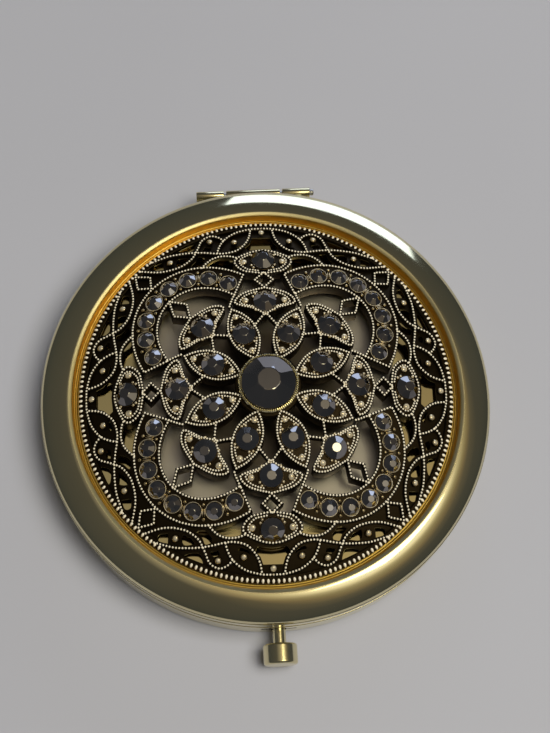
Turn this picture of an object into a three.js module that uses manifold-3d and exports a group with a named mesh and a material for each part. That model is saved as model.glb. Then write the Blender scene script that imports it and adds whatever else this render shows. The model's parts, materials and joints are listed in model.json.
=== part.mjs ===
// Round compact mirror, closed, lying on its base.
// Millimetres, +Z up, origin at the middle of the face it rests on.
// The hinge is at +Y and the push button at -Y.
import * as THREE from 'three';
import { mergeVertices } from 'three/addons/utils/BufferGeometryUtils.js';
import Module from 'manifold-3d';

const wasm = await Module();
wasm.setup();

// Driving dimensions of the case
const caseRadius = 35;
const sheet = 0.7;
const seatGap = 0.2;
const partingGap = 0.3;
const baseEdgeRound = 1;
const edgeSteps = 4;
const rimSteps = 5;
const baseLip = 0.2;
const lidSkirtHeight = 2.45;
const edgeLineDepth = 0.14;
const edgeLineHeight = 0.32;
const rimWidth = 4.8;
const rimLipRound = 0.45;
const recessDepth = 2.1;
const shellFacets = 50;
const innerFacets = 36;

// Mirrors, the pads behind them and the rings that hold them
const mirrorMargin = 6.3;
const lidMirrorThickness = 1.1;
const baseMirrorThickness = 1.2;
const magnifierDepth = 0.75;
const magnifierRings = 3;
const lidPadThickness = 0.4;
const basePadThickness = 1.4;
const ringFlange = 0.45;
const ringCollar = 0.4;
const mirrorLap = 1.2;

// Hinge
const hingeOffset = 1.05;
const knuckleRadius = 0.8;
const pinRadius = 0.4;
const pinClearance = 0.08;
const pinHeadRadius = 0.52;
const pinHeadLength = 0.65;
const hingeLength = 18.6;
const middleKnuckle = 9.2;
const knuckleGap = 0.2;
const leafThickness = 0.5;
const leafWeb = 0.6;
const leafInset = 2.4;
const leafReach = 3.1;
const knuckleFacets = 12;

// Push button
const stemRadius = 1;
const stemClearance = 0.1;
const stemShows = 2.3;
const capRadius = 2.62;
const capLength = 3.2;
const capRound = 0.45;
const tenonRadius = 0.55;
const buttonFacets = 18;
const stemSlotHalfLength = 2.7;
const stemSlotHeight = 0.45;

// Latch behind the button
const catchInset = 0.9;
const sliderThickness = 0.8;
const sliderHalfWidth = 6;
const sliderTopGap = 0.3;
const noseHeight = 0.6;
const noseReach = 0.9;
const catchOffset = 3.5;
const catchWidth = 1.6;
const catchThickness = 0.6;
const catchPlate = 0.5;
const catchPlateDepth = 2.6;
const barbReach = 0.6;
const barbHeight = 0.6;
const latchPlay = 0.3;
const cageThickness = 0.4;
const cageEnd = 0.8;
const cageLip = 0.3;
const cageLipWidth = 1.2;
const cageWallHeight = 1.6;
const springThickness = 0.25;
const springWidth = 1.6;
const springHalfLength = 5.2;
const springRoom = 1.7;
const springSteps = 12;

// Domed filigree medallion
const medallionGap = 1.1;
const medallionTurn = -1.35;
const domeRise = 7;
const deckThickness = 0.9;
const ribRise = 0.28;
const ribWidth = 0.5;
const borderWidth = 0.56;
const outlineChordLength = 3;
const borderChordLength = 4;
const lobeChordLength = 3;
const ringWidth = 1.1;
const ringFacets = 60;
const shotRadius = 0.52;
const shotFacets = 5;
const shotShoulderShare = 0.74;
const shotTab = 0.8;
const bridgeRadius = 0.95;
const bridgeFacets = 8;

// Stones and the bright setting of the large one
const centreStoneRadius = 3.95;
const centreStoneHeight = 2.35;
const petalStoneRadius = 1.65;
const petalStoneHeight = 0.9;
const cuspStoneRadius = 1.7;
const cuspStoneHeight = 0.95;
const lobeStoneRadius = 1.2;
const lobeStoneHeight = 0.6;
const settingWall = 0.45;
const settingHeight = 0.8;
const settingFloor = 0.3;
const settingFacets = 24;
const stoneSides = 8;
const girdleShare = 0.3;
const tableShare = 0.45;

// How far a cutting solid runs past what it cuts, and a sunk solid into what carries it
const overrun = 1;
const sink = 0.25;

// Medallion layout, as shares of its radius. A place is [along the axis, across it].
const innerPetalShares = [[0.158, 0], [0.2, 0.038], [0.255, 0.065], [0.32, 0.073], [0.39, 0.057], [0.467, 0]];
const outerPetalShares = [
  [0.56, 0], [0.54, 0.085], [0.509, 0.14], [0.469, 0.158], [0.443, 0.083], [0.399, 0],
];
const cuspShares = [[0.804, 0], [0.782, 0.092], [0.742, 0.148], [0.712, 0.15], [0.672, 0.105], [0.655, 0]];
const innerStoneShare = 0.3065;
const outerStoneShare = 0.474;
const cuspStoneShare = 0.739;
const innerShotShares = [[0.415, 0], [0.206, 0]];
const outerShotShares = [[0.4825, 0.103], [0.4825, -0.103]];
const cuspShotShares = [[0.7285, 0.103], [0.7285, -0.103]];
const strutShares = [[0.408, 0], [0.33, 0.062]];
const cardinalLozengeShares = [[0.656, 0], [0.612, 0.048], [0.564, 0]];
const innerLozengeShares = [[0.72, 0], [0.637, 0.049], [0.564, 0]];
const outerLozengeShares = [[0.855, 0], [0.911, 0.046], [0.977, 0]];
const lobeCentreShare = 0.486;
const lobeInnerShare = 0.23;
const lobeOuterShare = 0.361;
const lobeInnerFlareShare = 0.1;
const lobeOuterFlareShare = 0.057;
const lobeInnerReach = 91;
const lobeOuterReach = 82.7;
const lobeStoneShare = 0.2955;
const lobeStoneTurn = 21.7;
const lobeStonePairs = 4;
const lobeTailShares = [[0.162, 0.519], [0.189, 0.45]];

// Border lines of one eighth, from the +Y axis towards the diagonal, as [x, y] shares
const archShares = [[0, 0.957], [0.093, 0.947], [0.168, 0.915], [0.221, 0.861], [0.246, 0.795]];
const waveShares = [
  [0.061, 0.942], [0.079, 0.873], [0.134, 0.811],
  [0.213, 0.792], [0.447, 0.809], [0.612, 0.77],
];
const scrollShares = [
  [0.208, 0.876], [0.233, 0.905], [0.278, 0.918], [0.332, 0.882],
  [0.359, 0.814], [0.405, 0.749], [0.479, 0.713], [0.564, 0.703], [0.67, 0.725],
];
const hoodShares = [[0.144, 0.759], [0.21, 0.779], [0.275, 0.757], [0.33, 0.704]];
const leafBarShares = [[0.1, 0.842], [0.15, 0.8677], [0.2, 0.891]];
const scrollBarShares = [[0.278, 0.918], [0.2835, 0.8797]];
const waveBarShares = [[0.505, 0.803], [0.5003, 0.7595], [0.495, 0.709]];
const archShotShare = 0.9278;
const archBarShares = [[0, 0.96], [0, 0.9278]];

// Heights of the stack, from the resting face up
const baseMirrorBottom = sheet + seatGap + basePadThickness + seatGap;
const baseMirrorTop = baseMirrorBottom + baseMirrorThickness + magnifierDepth;
const baseFlangeBottom = baseMirrorTop + seatGap;
const baseFlangeTop = baseFlangeBottom + ringFlange;
const baseTop = baseFlangeTop + baseLip;
const lidBottom = baseTop + partingGap;
const lidFlangeTop = lidBottom + ringFlange;
const lidMirrorBottom = lidFlangeTop + seatGap;
const lidPadBottom = lidMirrorBottom + lidMirrorThickness + seatGap;
const lidFloorUnder = lidPadBottom + lidPadThickness + seatGap;
const lidFloorTop = lidFloorUnder + sheet;
const edgeLineBottom = lidBottom + lidSkirtHeight;
const rimBottom = edgeLineBottom + edgeLineHeight;
const rimTop = lidFloorTop + recessDepth;
const medallionBottom = lidFloorTop + seatGap;

// Radii that follow from the case
const wallInner = caseRadius - sheet;
const mirrorRadius = wallInner - mirrorMargin;
const recessRadius = caseRadius - rimWidth;
const medallionRadius = recessRadius - medallionGap;
const collarInner = mirrorRadius + seatGap;
const collarOuter = collarInner + ringCollar;
const flangeOuter = wallInner - seatGap;
const flangeInner = mirrorRadius - mirrorLap;

// Hinge axis, in the parting gap behind the case
const hingeY = caseRadius + hingeOffset;
const hingeZ = baseTop + partingGap / 2;

// Places of the latch, worked out from the wall inwards
const stemZ = baseFlangeBottom - seatGap - stemRadius;
const catchFaceY = catchInset - wallInner;
const barbTipY = catchFaceY + catchThickness + barbReach;
const sliderFrontY = catchFaceY + catchThickness + seatGap + noseReach;
const cageBackY = sliderFrontY + sliderThickness + springRoom;
const sliderTop = baseFlangeBottom - sliderTopGap;
const cageFloorBottom = sheet + seatGap;
const cageFloorTop = cageFloorBottom + cageThickness;
const sliderBottom = cageFloorTop + seatGap;
const barbBottom = sliderTop - noseHeight - latchPlay - barbHeight;
const catchPlateBottom = lidFlangeTop + seatGap;
const leafBaseBottom = baseFlangeBottom - seatGap - leafThickness;
const leafLidBottom = lidFlangeTop + seatGap;

const polishedGold = [0.83, 0.76, 0.56];
const antiqueBrass = [0.36, 0.31, 0.22];
const finishes = {
  gold: { color: polishedGold, roughness: 0.15, metalness: 1 },
  antique: { color: antiqueBrass, roughness: 0.45, metalness: 0.9 },
  steel: { color: [0.66, 0.65, 0.62], roughness: 0.3, metalness: 1 },
  mirror: { color: [0.9, 0.92, 0.93], roughness: 0.02, metalness: 1 },
  foam: { color: [0.82, 0.81, 0.78], roughness: 0.9, metalness: 0 },
  stone: { color: [0.16, 0.17, 0.21], roughness: 0.08, metalness: 0.8 },
};

const compact = new THREE.Group();

function place(name, geometry, finish, parent = compact) {
  const { color, roughness, metalness } = finishes[finish];
  const material = new THREE.MeshStandardMaterial({ roughness, metalness });
  material.color.setRGB(...color, THREE.SRGBColorSpace);
  const mesh = new THREE.Mesh(geometry, material);
  mesh.name = name;
  parent.add(mesh);
  return mesh;
}

// Closed three.js geometry to a solid that can be joined and cut
function solidOf(geometry) {
  const bare = geometry.clone();
  bare.deleteAttribute('normal');
  bare.deleteAttribute('uv');
  const merged = mergeVertices(bare, 1e-4);
  const corners = merged.index.array;
  const kept = [];
  for (let i = 0; i < corners.length; i += 3) {
    const [a, b, c] = [corners[i], corners[i + 1], corners[i + 2]];
    if (a !== b && b !== c && c !== a) kept.push(a, b, c);
  }
  return new wasm.Manifold(new wasm.Mesh({
    numProp: 3,
    vertProperties: new Float32Array(merged.attributes.position.array),
    triVerts: new Uint32Array(kept),
  }));
}

function geometryOf(solid) {
  const mesh = solid.getMesh();
  const positions = new Float32Array(mesh.numVert * 3);
  for (let i = 0; i < mesh.numVert; i += 1) {
    const start = i * mesh.numProp;
    positions.set(mesh.vertProperties.subarray(start, start + 3), i * 3);
  }
  const geometry = new THREE.BufferGeometry();
  geometry.setAttribute('position', new THREE.BufferAttribute(positions, 3));
  geometry.setIndex(new THREE.BufferAttribute(new Uint32Array(mesh.triVerts), 1));
  geometry.computeVertexNormals();
  return geometry;
}

// Joins in pairs, so that no solid is handled more often than it must be
function joined(solids) {
  let left = solids;
  while (left.length > 1) {
    const next = [];
    for (let i = 0; i < left.length; i += 2) {
      next.push(i + 1 < left.length ? left[i].add(left[i + 1]) : left[i]);
    }
    left = next;
  }
  return left[0];
}

// Makes one face of the flat faces that joining leaves in pieces
function mergedFaces(solid) {
  return solidOf(geometryOf(solid)).simplify();
}

function cut(solid, tools) {
  return solid.subtract(joined(tools));
}

// Revolves a closed [radius, height] profile, drawn counter-clockwise, about +Z
function turned(profile, facets = innerFacets) {
  const points = profile.map(([r, z]) => new THREE.Vector2(r, z));
  const geometry = new THREE.LatheGeometry(points, facets);
  geometry.rotateX(Math.PI / 2);
  return geometry;
}

function block(x, y, z) {
  const geometry = new THREE.BoxGeometry(x[1] - x[0], y[1] - y[0], z[1] - z[0]);
  geometry.translate((x[0] + x[1]) / 2, (y[0] + y[1]) / 2, (z[0] + z[1]) / 2);
  return solidOf(geometry);
}

// A rod along X from x[0] to x[1], about the hinge axis
function hingeRod(radius, x) {
  const geometry = new THREE.CylinderGeometry(radius, radius, x[1] - x[0], knuckleFacets);
  geometry.rotateZ(Math.PI / 2);
  geometry.translate((x[0] + x[1]) / 2, hingeY, hingeZ);
  return solidOf(geometry);
}

// Extrudes a closed outline of [x, y] points from one height to another
function prism(outline, from, to, hole = null) {
  const shape = new THREE.Shape(outline.map(([x, y]) => new THREE.Vector2(x, y)));
  if (hole) shape.holes.push(new THREE.Path(hole.map(([x, y]) => new THREE.Vector2(x, y))));
  const geometry = new THREE.ExtrudeGeometry(shape, { depth: to - from, bevelEnabled: false });
  geometry.translate(0, 0, from);
  return solidOf(geometry);
}

function arc(centreR, centreZ, radius, fromAngle, toAngle, steps) {
  return Array.from({ length: steps + 1 }, (_, i) => {
    const angle = fromAngle + ((toAngle - fromAngle) * i) / steps;
    return [centreR + radius * Math.cos(angle), centreZ + radius * Math.sin(angle)];
  });
}

// Base shell: a turned pan with a rounded bottom edge, slots for the hinge leaf and one for the button's stem
function baseShell() {
  const innerRound = baseEdgeRound - sheet;
  const edgeR = caseRadius - baseEdgeRound;
  const quarter = Math.PI / 2;
  const pan = solidOf(turned([
    [0, 0],
    ...arc(edgeR, baseEdgeRound, baseEdgeRound, -quarter, 0, edgeSteps),
    [caseRadius, baseTop],
    [wallInner, baseTop],
    ...arc(edgeR, baseEdgeRound, innerRound, 0, -quarter, 2),
    [0, sheet],
  ], shellFacets));
  const stemBore = new THREE.CylinderGeometry(
    stemRadius + stemClearance, stemRadius + stemClearance, 2 * (sheet + overrun), buttonFacets);
  stemBore.translate(0, -caseRadius, stemZ);
  const slotZ = [leafBaseBottom - seatGap, leafBaseBottom + leafThickness + seatGap];
  const slotY = [wallInner - leafInset, caseRadius + overrun];
  const leafSlots = [-1, 1].map((side) => {
    const near = middleKnuckle / 2;
    const far = hingeLength / 2 + seatGap;
    return block([Math.min(side * near, side * far), Math.max(side * near, side * far)], slotY, slotZ);
  });
  const stemSlot = block(
    [-stemSlotHalfLength, stemSlotHalfLength],
    [-caseRadius - overrun, -wallInner + overrun],
    [stemZ - stemSlotHeight / 2, stemZ + stemSlotHeight / 2],
  );
  return cut(pan, [solidOf(stemBore), stemSlot, ...leafSlots]);
}

// Lid shell: skirt, edge line, convex rim and sunk floor, pressed from one sheet
function lidShell() {
  const crownRun = rimWidth - rimLipRound;
  const crownFoot = caseRadius;
  const crownDrop = rimTop - rimBottom;
  const crownRadius = (crownRun ** 2 + crownDrop ** 2) / (2 * crownDrop);
  const crownR = recessRadius + rimLipRound;
  const crownZ = rimTop - crownRadius;
  const footAngle = Math.acos((crownFoot - crownR) / crownRadius);
  const quarter = Math.PI / 2;
  const innerRadius = crownRadius - sheet;
  const innerFoot = Math.acos((wallInner - crownR) / innerRadius);
  const innerTop = Math.acos((recessRadius + sheet - crownR) / innerRadius);
  const shell = solidOf(turned([
    [0, lidFloorUnder],
    [recessRadius + sheet, lidFloorUnder],
    ...arc(crownR, crownZ, innerRadius, innerTop, innerFoot, 2),
    [wallInner, lidBottom],
    [caseRadius, lidBottom],
    [caseRadius, edgeLineBottom],
    [caseRadius + edgeLineDepth, edgeLineBottom + edgeLineHeight / 2],
    ...arc(crownR, crownZ, crownRadius, footAngle, quarter, rimSteps),
    ...arc(crownR, rimTop - rimLipRound, rimLipRound, quarter, 2 * quarter, 2).slice(1),
    [recessRadius, lidFloorTop],
    [0, lidFloorTop],
  ], shellFacets));
  const half = middleKnuckle / 2;
  const slotZ = [leafLidBottom - seatGap, leafLidBottom + leafThickness + seatGap];
  return cut(shell, [block([-half, half], [wallInner - overrun, caseRadius + overrun], slotZ)]);
}

// Ring that holds a mirror: flange over the glass and collar round it, notched for the catch
function mirrorRing(flange, collarEnd) {
  const [flangeLow, flangeHigh] = flange;
  const below = collarEnd < flangeLow;
  const section = below
    ? [
      [flangeInner, flangeLow], [collarInner, flangeLow], [collarInner, collarEnd], [collarOuter, collarEnd],
      [collarOuter, flangeLow], [flangeOuter, flangeLow], [flangeOuter, flangeHigh], [flangeInner, flangeHigh],
    ]
    : [
      [flangeInner, flangeLow], [flangeOuter, flangeLow], [flangeOuter, flangeHigh], [collarOuter, flangeHigh],
      [collarOuter, collarEnd], [collarInner, collarEnd], [collarInner, flangeHigh], [flangeInner, flangeHigh],
    ];
  const ring = solidOf(turned([...section, section[0]]));
  const notchY = [-caseRadius, barbTipY + latchPlay];
  const notchZ = [flangeLow - overrun / 10, flangeHigh + overrun / 10];
  const notches = [-1, 1].map((side) => {
    const half = catchWidth / 2 + latchPlay;
    return block([side * catchOffset - half, side * catchOffset + half], notchY, notchZ);
  });
  return cut(ring, notches);
}

function disc(radius, bottom, top, facets = innerFacets) {
  return turned([[0, bottom], [radius, bottom], [radius, top], [0, top]], facets);
}

// Magnifying mirror: glass of even thickness, sunk towards the middle
function magnifier() {
  const rise = (r) => magnifierDepth * (r / mirrorRadius) ** 2;
  const steps = Array.from({ length: magnifierRings + 1 }, (_, i) => (mirrorRadius * i) / magnifierRings);
  const under = steps.map((r) => [r, baseMirrorBottom + rise(r)]);
  const over = steps.map((r) => [r, baseMirrorBottom + baseMirrorThickness + rise(r)]).reverse();
  return turned([...under, ...over]);
}

// Hinge leaf: a plate inside the case, tabs out through the wall, a web and knuckles on the axis
function hingeLeaf(plateBottom, spans) {
  const plateTop = plateBottom + leafThickness;
  const webY = [hingeY - knuckleRadius, hingeY - knuckleRadius + leafWeb];
  const webZ = [Math.min(plateBottom, hingeZ), Math.max(plateTop, hingeZ)];
  const low = spans[0][0];
  const high = spans[spans.length - 1][1];
  const plateFront = wallInner - leafInset - leafReach + leafThickness;
  const plateBack = Math.sqrt((wallInner - seatGap) ** 2 - high ** 2);
  const solids = [block([low, high], [plateFront, plateBack - seatGap], [plateBottom, plateTop])];
  const knuckles = spans.map((span) => hingeRod(knuckleRadius, span));
  spans.forEach((span) => {
    solids.push(block(span, [plateFront, webY[1]], [plateBottom, plateTop]));
    solids.push(block(span, webY, webZ));
  });
  const bore = hingeRod(pinRadius + pinClearance, [low - overrun, high + overrun]);
  return cut(joined([...solids, ...knuckles]), [bore]);
}

function pushButton() {
  const capFace = -caseRadius - stemShows;
  const capEnd = capFace - capLength;
  const bevel = capRound * (1 - Math.SQRT1_2);
  const profile = [
    [0, 0],
    [capRadius - capRound, 0],
    [capRadius - bevel, bevel],
    [capRadius, capRound],
    [capRadius, capLength - capRound / 2],
    [capRadius - capRound / 2, capLength],
    [stemRadius, capLength],
    [stemRadius, sliderFrontY - seatGap - capEnd],
    [tenonRadius, sliderFrontY - seatGap - capEnd],
    [tenonRadius, sliderFrontY + sliderThickness - capEnd],
    [0, sliderFrontY + sliderThickness - capEnd],
  ];
  const geometry = turned(profile, buttonFacets);
  geometry.rotateX(-Math.PI / 2);
  geometry.translate(0, capEnd, stemZ);
  return geometry;
}

// Latch slider: a bar on the stem's tenon, with two noses that reach out over the barbs
function latchSlider() {
  const backY = sliderFrontY + sliderThickness;
  const bar = block([-sliderHalfWidth, sliderHalfWidth], [sliderFrontY, backY], [sliderBottom, sliderTop]);
  const noses = [-1, 1].map((side) => block(
    [side * catchOffset - catchWidth / 2, side * catchOffset + catchWidth / 2],
    [sliderFrontY - noseReach, sliderFrontY + sink],
    [sliderTop - noseHeight, sliderTop],
  ));
  const hole = new THREE.CylinderGeometry(
    tenonRadius + stemClearance, tenonRadius + stemClearance, sliderThickness + overrun, buttonFacets);
  hole.translate(0, sliderFrontY + sliderThickness / 2, stemZ);
  return cut(joined([bar, ...noses]), [solidOf(hole)]);
}

// Cage on the base floor: end walls guide the slider, lips stop it and a back wall takes the spring
function latchCage() {
  const inner = sliderHalfWidth + seatGap;
  const outer = inner + cageEnd;
  const front = sliderFrontY - seatGap - cageLip;
  const wallTop = cageFloorTop + cageWallHeight;
  const solids = [
    block([-outer, outer], [front, cageBackY + cageLip], [cageFloorBottom, cageFloorTop]),
    block([-outer, outer], [cageBackY, cageBackY + cageLip], [cageFloorBottom, wallTop]),
  ];
  [-1, 1].forEach((side) => {
    const span = (a, b) => [Math.min(side * a, side * b), Math.max(side * a, side * b)];
    solids.push(block(span(inner, outer), [front, cageBackY + cageLip], [cageFloorBottom, wallTop]));
    const lipSpan = span(inner - cageLipWidth, outer);
    solids.push(block(lipSpan, [front, front + cageLip], [cageFloorBottom, wallTop]));
  });
  return joined(solids);
}

// Bowed strip between the slider and the back wall of the cage
function latchSpring() {
  const bow = springRoom - 2 * seatGap - springThickness;
  const near = sliderFrontY + sliderThickness + seatGap;
  const front = [];
  const back = [];
  for (let i = 0; i <= springSteps; i += 1) {
    const share = (2 * i) / springSteps - 1;
    const x = springHalfLength * share;
    const y = near + bow * share ** 2;
    front.push([x, y]);
    back.push([x, y + springThickness]);
  }
  const middle = (sliderBottom + sliderTop) / 2;
  return prism([...front, ...back.reverse()], middle - springWidth / 2, middle + springWidth / 2);
}

// Catch: a plate on the lid's ring with two legs, each with a barb that points inwards
function lidCatch() {
  const outer = catchOffset + catchWidth / 2;
  const legInner = catchFaceY + catchThickness;
  const plateTop = catchPlateBottom + catchPlate;
  const plateY = [catchFaceY, catchFaceY + catchPlateDepth];
  const solids = [block([-outer, outer], plateY, [catchPlateBottom, plateTop])];
  [-1, 1].forEach((side) => {
    const x = [side * catchOffset - catchWidth / 2, side * catchOffset + catchWidth / 2];
    solids.push(block(x, [catchFaceY, legInner], [barbBottom, plateTop]));
    solids.push(block(x, [catchFaceY, barbTipY], [barbBottom, barbBottom + barbHeight]));
  });
  return joined(solids);
}

// Height of the dome above the ring, at a distance from the axis
function domeAt(distance) {
  return domeRise * (1 - (distance / medallionRadius) ** 2);
}

// A share place turned to an angle in degrees, in millimetres
function spot([along, across], degrees = 90) {
  const angle = THREE.MathUtils.degToRad(degrees);
  const u = along * medallionRadius;
  const v = across * medallionRadius;
  return [u * Math.cos(angle) - v * Math.sin(angle), u * Math.sin(angle) + v * Math.cos(angle)];
}

const reflected = (shares) => shares.map(([along, across]) => [along, -across]);

// The given places and, on the spline through them, more wherever two lie further apart than a step
function smooth(points, step) {
  const spline = new THREE.SplineCurve(points.map(([x, y]) => new THREE.Vector2(x, y)));
  const spans = points.length - 1;
  const line = [points[0]];
  for (let i = 0; i < spans; i += 1) {
    const reach = Math.hypot(points[i + 1][0] - points[i][0], points[i + 1][1] - points[i][1]);
    const count = Math.max(1, Math.round(reach / step));
    for (let j = 1; j <= count; j += 1) {
      const { x, y } = spline.getPoint((i + j / count) / spans);
      line.push([x, y]);
    }
  }
  return line;
}

// Moves a line sideways, mitred at its corners
function beside(line, distance, closed) {
  const last = line.length - 1;
  return line.map((point, i) => {
    const before = line[i > 0 ? i - 1 : (closed ? last : 0)];
    const after = line[i < last ? i + 1 : (closed ? 0 : last)];
    const into = new THREE.Vector2(point[0] - before[0], point[1] - before[1]);
    const out = new THREE.Vector2(after[0] - point[0], after[1] - point[1]);
    if (into.length() === 0) into.copy(out);
    if (out.length() === 0) out.copy(into);
    into.normalize();
    out.normalize();
    const along = into.clone().add(out).normalize();
    const mitre = Math.min(1 / Math.max(along.dot(out), 0.1), 1.6);
    return [point[0] - along.y * distance * mitre, point[1] + along.x * distance * mitre];
  });
}

// A rib of even width along a line, open with square ends or closed on itself
function rib(line, width, top, closed = false) {
  const sides = [beside(line, width / 2, closed), beside(line, -width / 2, closed)];
  const corners = [];
  line.forEach((_, i) => {
    const [left, right] = [sides[0][i], sides[1][i]];
    corners.push([...right, 0], [...right, top], [...left, top], [...left, 0]);
  });
  const faces = [];
  const quad = (a, b, c, d) => faces.push(a, b, c, a, c, d);
  const spans = closed ? line.length : line.length - 1;
  for (let i = 0; i < spans; i += 1) {
    const here = 4 * i;
    const next = 4 * ((i + 1) % line.length);
    for (let k = 0; k < 4; k += 1) {
      const beyond = (k + 1) % 4;
      quad(here + k, next + k, next + beyond, here + beyond);
    }
  }
  if (!closed) {
    const end = 4 * (line.length - 1);
    quad(0, 1, 2, 3);
    quad(end + 3, end + 2, end + 1, end);
  }
  const geometry = new THREE.BufferGeometry();
  geometry.setAttribute('position', new THREE.Float32BufferAttribute(corners.flat(), 3));
  geometry.setIndex(faces);
  return solidOf(geometry);
}

// Whole outline from the places on one side of its axis
function wholeOutline(halfShares, degrees, step) {
  const half = smooth(halfShares.map((place) => spot(place, degrees)), step);
  const otherHalf = smooth(reflected(halfShares).map((place) => spot(place, degrees)), step);
  return [...half, ...otherHalf.reverse().slice(1, -1)];
}

// A round shot: a low dome whose foot is sunk into the deck
function shot([x, y], radius, foot) {
  const profile = [
    [0, -sink],
    [radius, -sink],
    [radius * shotShoulderShare, radius * shotShoulderShare],
    [0, radius],
  ];
  const geometry = turned(profile, shotFacets);
  geometry.translate(x, y, foot);
  return solidOf(geometry);
}

// A flat-backed stone with a girdle, eight crown facets and a flat table
function stone(radius, height) {
  const profile = [
    [0, 0],
    [radius, 0],
    [radius, height * girdleShare],
    [radius * tableShare, height],
    [0, height],
  ];
  return turned(profile, stoneSides);
}

const ribTop = deckThickness + ribRise;
const eighthTurn = 45;
const quarters = [0, 90, 180, 270];
const eighths = quarters.flatMap((axis) => [axis, axis + eighthTurn]);

function petals() {
  const solids = [];
  const raised = (shares, degrees) => {
    const outline = wholeOutline(shares, degrees, outlineChordLength);
    solids.push(prism(outline, 0, deckThickness), rib(outline, ribWidth, ribTop, true));
  };
  eighths.forEach((axis) => {
    const between = axis + eighthTurn / 2;
    raised(innerPetalShares, between);
    raised(outerPetalShares, axis);
    innerShotShares.forEach((place) => solids.push(shot(spot(place, between), shotRadius, deckThickness)));
    outerShotShares.forEach((place) => solids.push(shot(spot(place, axis), shotRadius, deckThickness)));
    solids.push(rib(strutShares.map((place) => spot(place, axis)), borderWidth, ribTop));
    solids.push(rib(reflected(strutShares).map((place) => spot(place, axis)), borderWidth, ribTop));
  });
  quarters.forEach((axis) => {
    raised(cuspShares, axis);
    cuspShotShares.forEach((place) => solids.push(shot(spot(place, axis), shotRadius, deckThickness)));
  });
  return solids;
}

function lozenges() {
  const frame = (shares, degrees) => {
    const half = shares.map((place) => spot(place, degrees));
    const other = reflected(shares).map((place) => spot(place, degrees));
    return rib([...half, other[1]], borderWidth, ribTop, true);
  };
  return quarters.flatMap((axis) => [
    frame(cardinalLozengeShares, axis),
    frame(innerLozengeShares, axis + eighthTurn),
    frame(outerLozengeShares, axis + eighthTurn),
  ]);
}

// One border of a lobe: an arc about the lobe's centre that flares towards its ends
function lobeLine(radiusShare, flareShare, reach, degrees) {
  const arcLength = THREE.MathUtils.degToRad(2 * reach) * radiusShare * medallionRadius;
  const count = Math.round(arcLength / lobeChordLength);
  return Array.from({ length: count + 1 }, (_, i) => {
    const way = (2 * i) / count - 1;
    const angle = THREE.MathUtils.degToRad(way * reach);
    const share = radiusShare * (1 + flareShare * way ** 4);
    return spot([lobeCentreShare + share * Math.cos(angle), share * Math.sin(angle)], degrees);
  });
}

function lobes() {
  const solids = [];
  quarters.forEach((quarter) => {
    const axis = quarter + eighthTurn;
    const outer = lobeLine(lobeOuterShare, lobeOuterFlareShare, lobeOuterReach, axis);
    const inner = lobeLine(lobeInnerShare, lobeInnerFlareShare, lobeInnerReach, axis);
    const band = [...outer, ...inner.slice().reverse()];
    solids.push(prism(band, 0, deckThickness), rib(band, ribWidth, ribTop, true));
    for (let k = 0; k < lobeStonePairs; k += 1) {
      [-1, 1].forEach((side) => {
        const angle = THREE.MathUtils.degToRad(side * (k + 0.5) * lobeStoneTurn);
        const along = lobeCentreShare + lobeStoneShare * Math.cos(angle);
        const [x, y] = spot([along, lobeStoneShare * Math.sin(angle)], axis);
        const geometry = turned([
          [0, -sink],
          [lobeStoneRadius, -sink],
          [lobeStoneRadius * tableShare, lobeStoneHeight],
          [0, lobeStoneHeight],
        ], stoneSides);
        geometry.rotateZ(THREE.MathUtils.degToRad(axis) + angle);
        geometry.translate(x, y, deckThickness);
        solids.push(solidOf(geometry));
      });
    }
    [false, true].forEach((flip) => {
      const tail = lobeTailShares.map(([x, y]) => (flip ? [-x, y] : [x, y]));
      const turnedTail = tail.map(([x, y]) => spot([y, -x], quarter));
      solids.push(rib(turnedTail, borderWidth, ribTop));
      const [x, y] = turnedTail[turnedTail.length - 1];
      const bridge = disc(bridgeRadius, 0, ribTop, bridgeFacets);
      bridge.translate(x, y, 0);
      solids.push(solidOf(bridge));
    });
  });
  return solids;
}

// Interlaced border between the rosette and the ring
function border() {
  const solids = [];
  const eighth = (quarter, flip) => {
    const put = (shares) => shares.map(([x, y]) => spot([y, flip ? x : -x], quarter));
    [archShares, waveShares, scrollShares, hoodShares].forEach((shares) => {
      solids.push(rib(smooth(put(shares), borderChordLength), borderWidth, ribTop));
    });
    [leafBarShares, scrollBarShares, waveBarShares].forEach((shares) => {
      const bar = put(shares);
      solids.push(rib([bar[0], bar[bar.length - 1]], shotTab, ribTop));
      solids.push(shot(bar[1], shotRadius, ribTop));
    });
  };
  quarters.forEach((quarter) => {
    eighth(quarter, false);
    eighth(quarter, true);
    const bar = archBarShares.map(([x, y]) => spot([y, x], quarter));
    solids.push(rib(bar, shotTab * 2, ribTop));
    solids.push(shot(spot([archShotShare, 0], quarter), shotRadius, ribTop));
  });
  return solids;
}

// Bends a flat piece of the medallion up into the dome and sets it on the lid's floor
function domed(geometry) {
  const position = geometry.getAttribute('position');
  for (let i = 0; i < position.count; i += 1) {
    const distance = Math.hypot(position.getX(i), position.getY(i));
    position.setZ(i, position.getZ(i) + domeAt(distance));
  }
  geometry.translate(0, 0, medallionBottom);
  geometry.computeVertexNormals();
  return geometry;
}

function medallion() {
  const ring = turned([
    [medallionRadius - ringWidth, 0],
    [medallionRadius, 0],
    [medallionRadius, ribTop],
    [medallionRadius - ringWidth, ribTop],
    [medallionRadius - ringWidth, 0],
  ], ringFacets);
  const petalTip = innerPetalShares[0][0] * medallionRadius;
  const settingOuter = centreStoneRadius + seatGap + settingWall;
  const hub = disc(Math.max(petalTip, settingOuter) + ribWidth, 0, deckThickness, settingFacets);
  const solids = [solidOf(ring), solidOf(hub), ...petals(), ...lozenges(), ...lobes(), ...border()];
  return mergedFaces(joined(solids));
}

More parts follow.
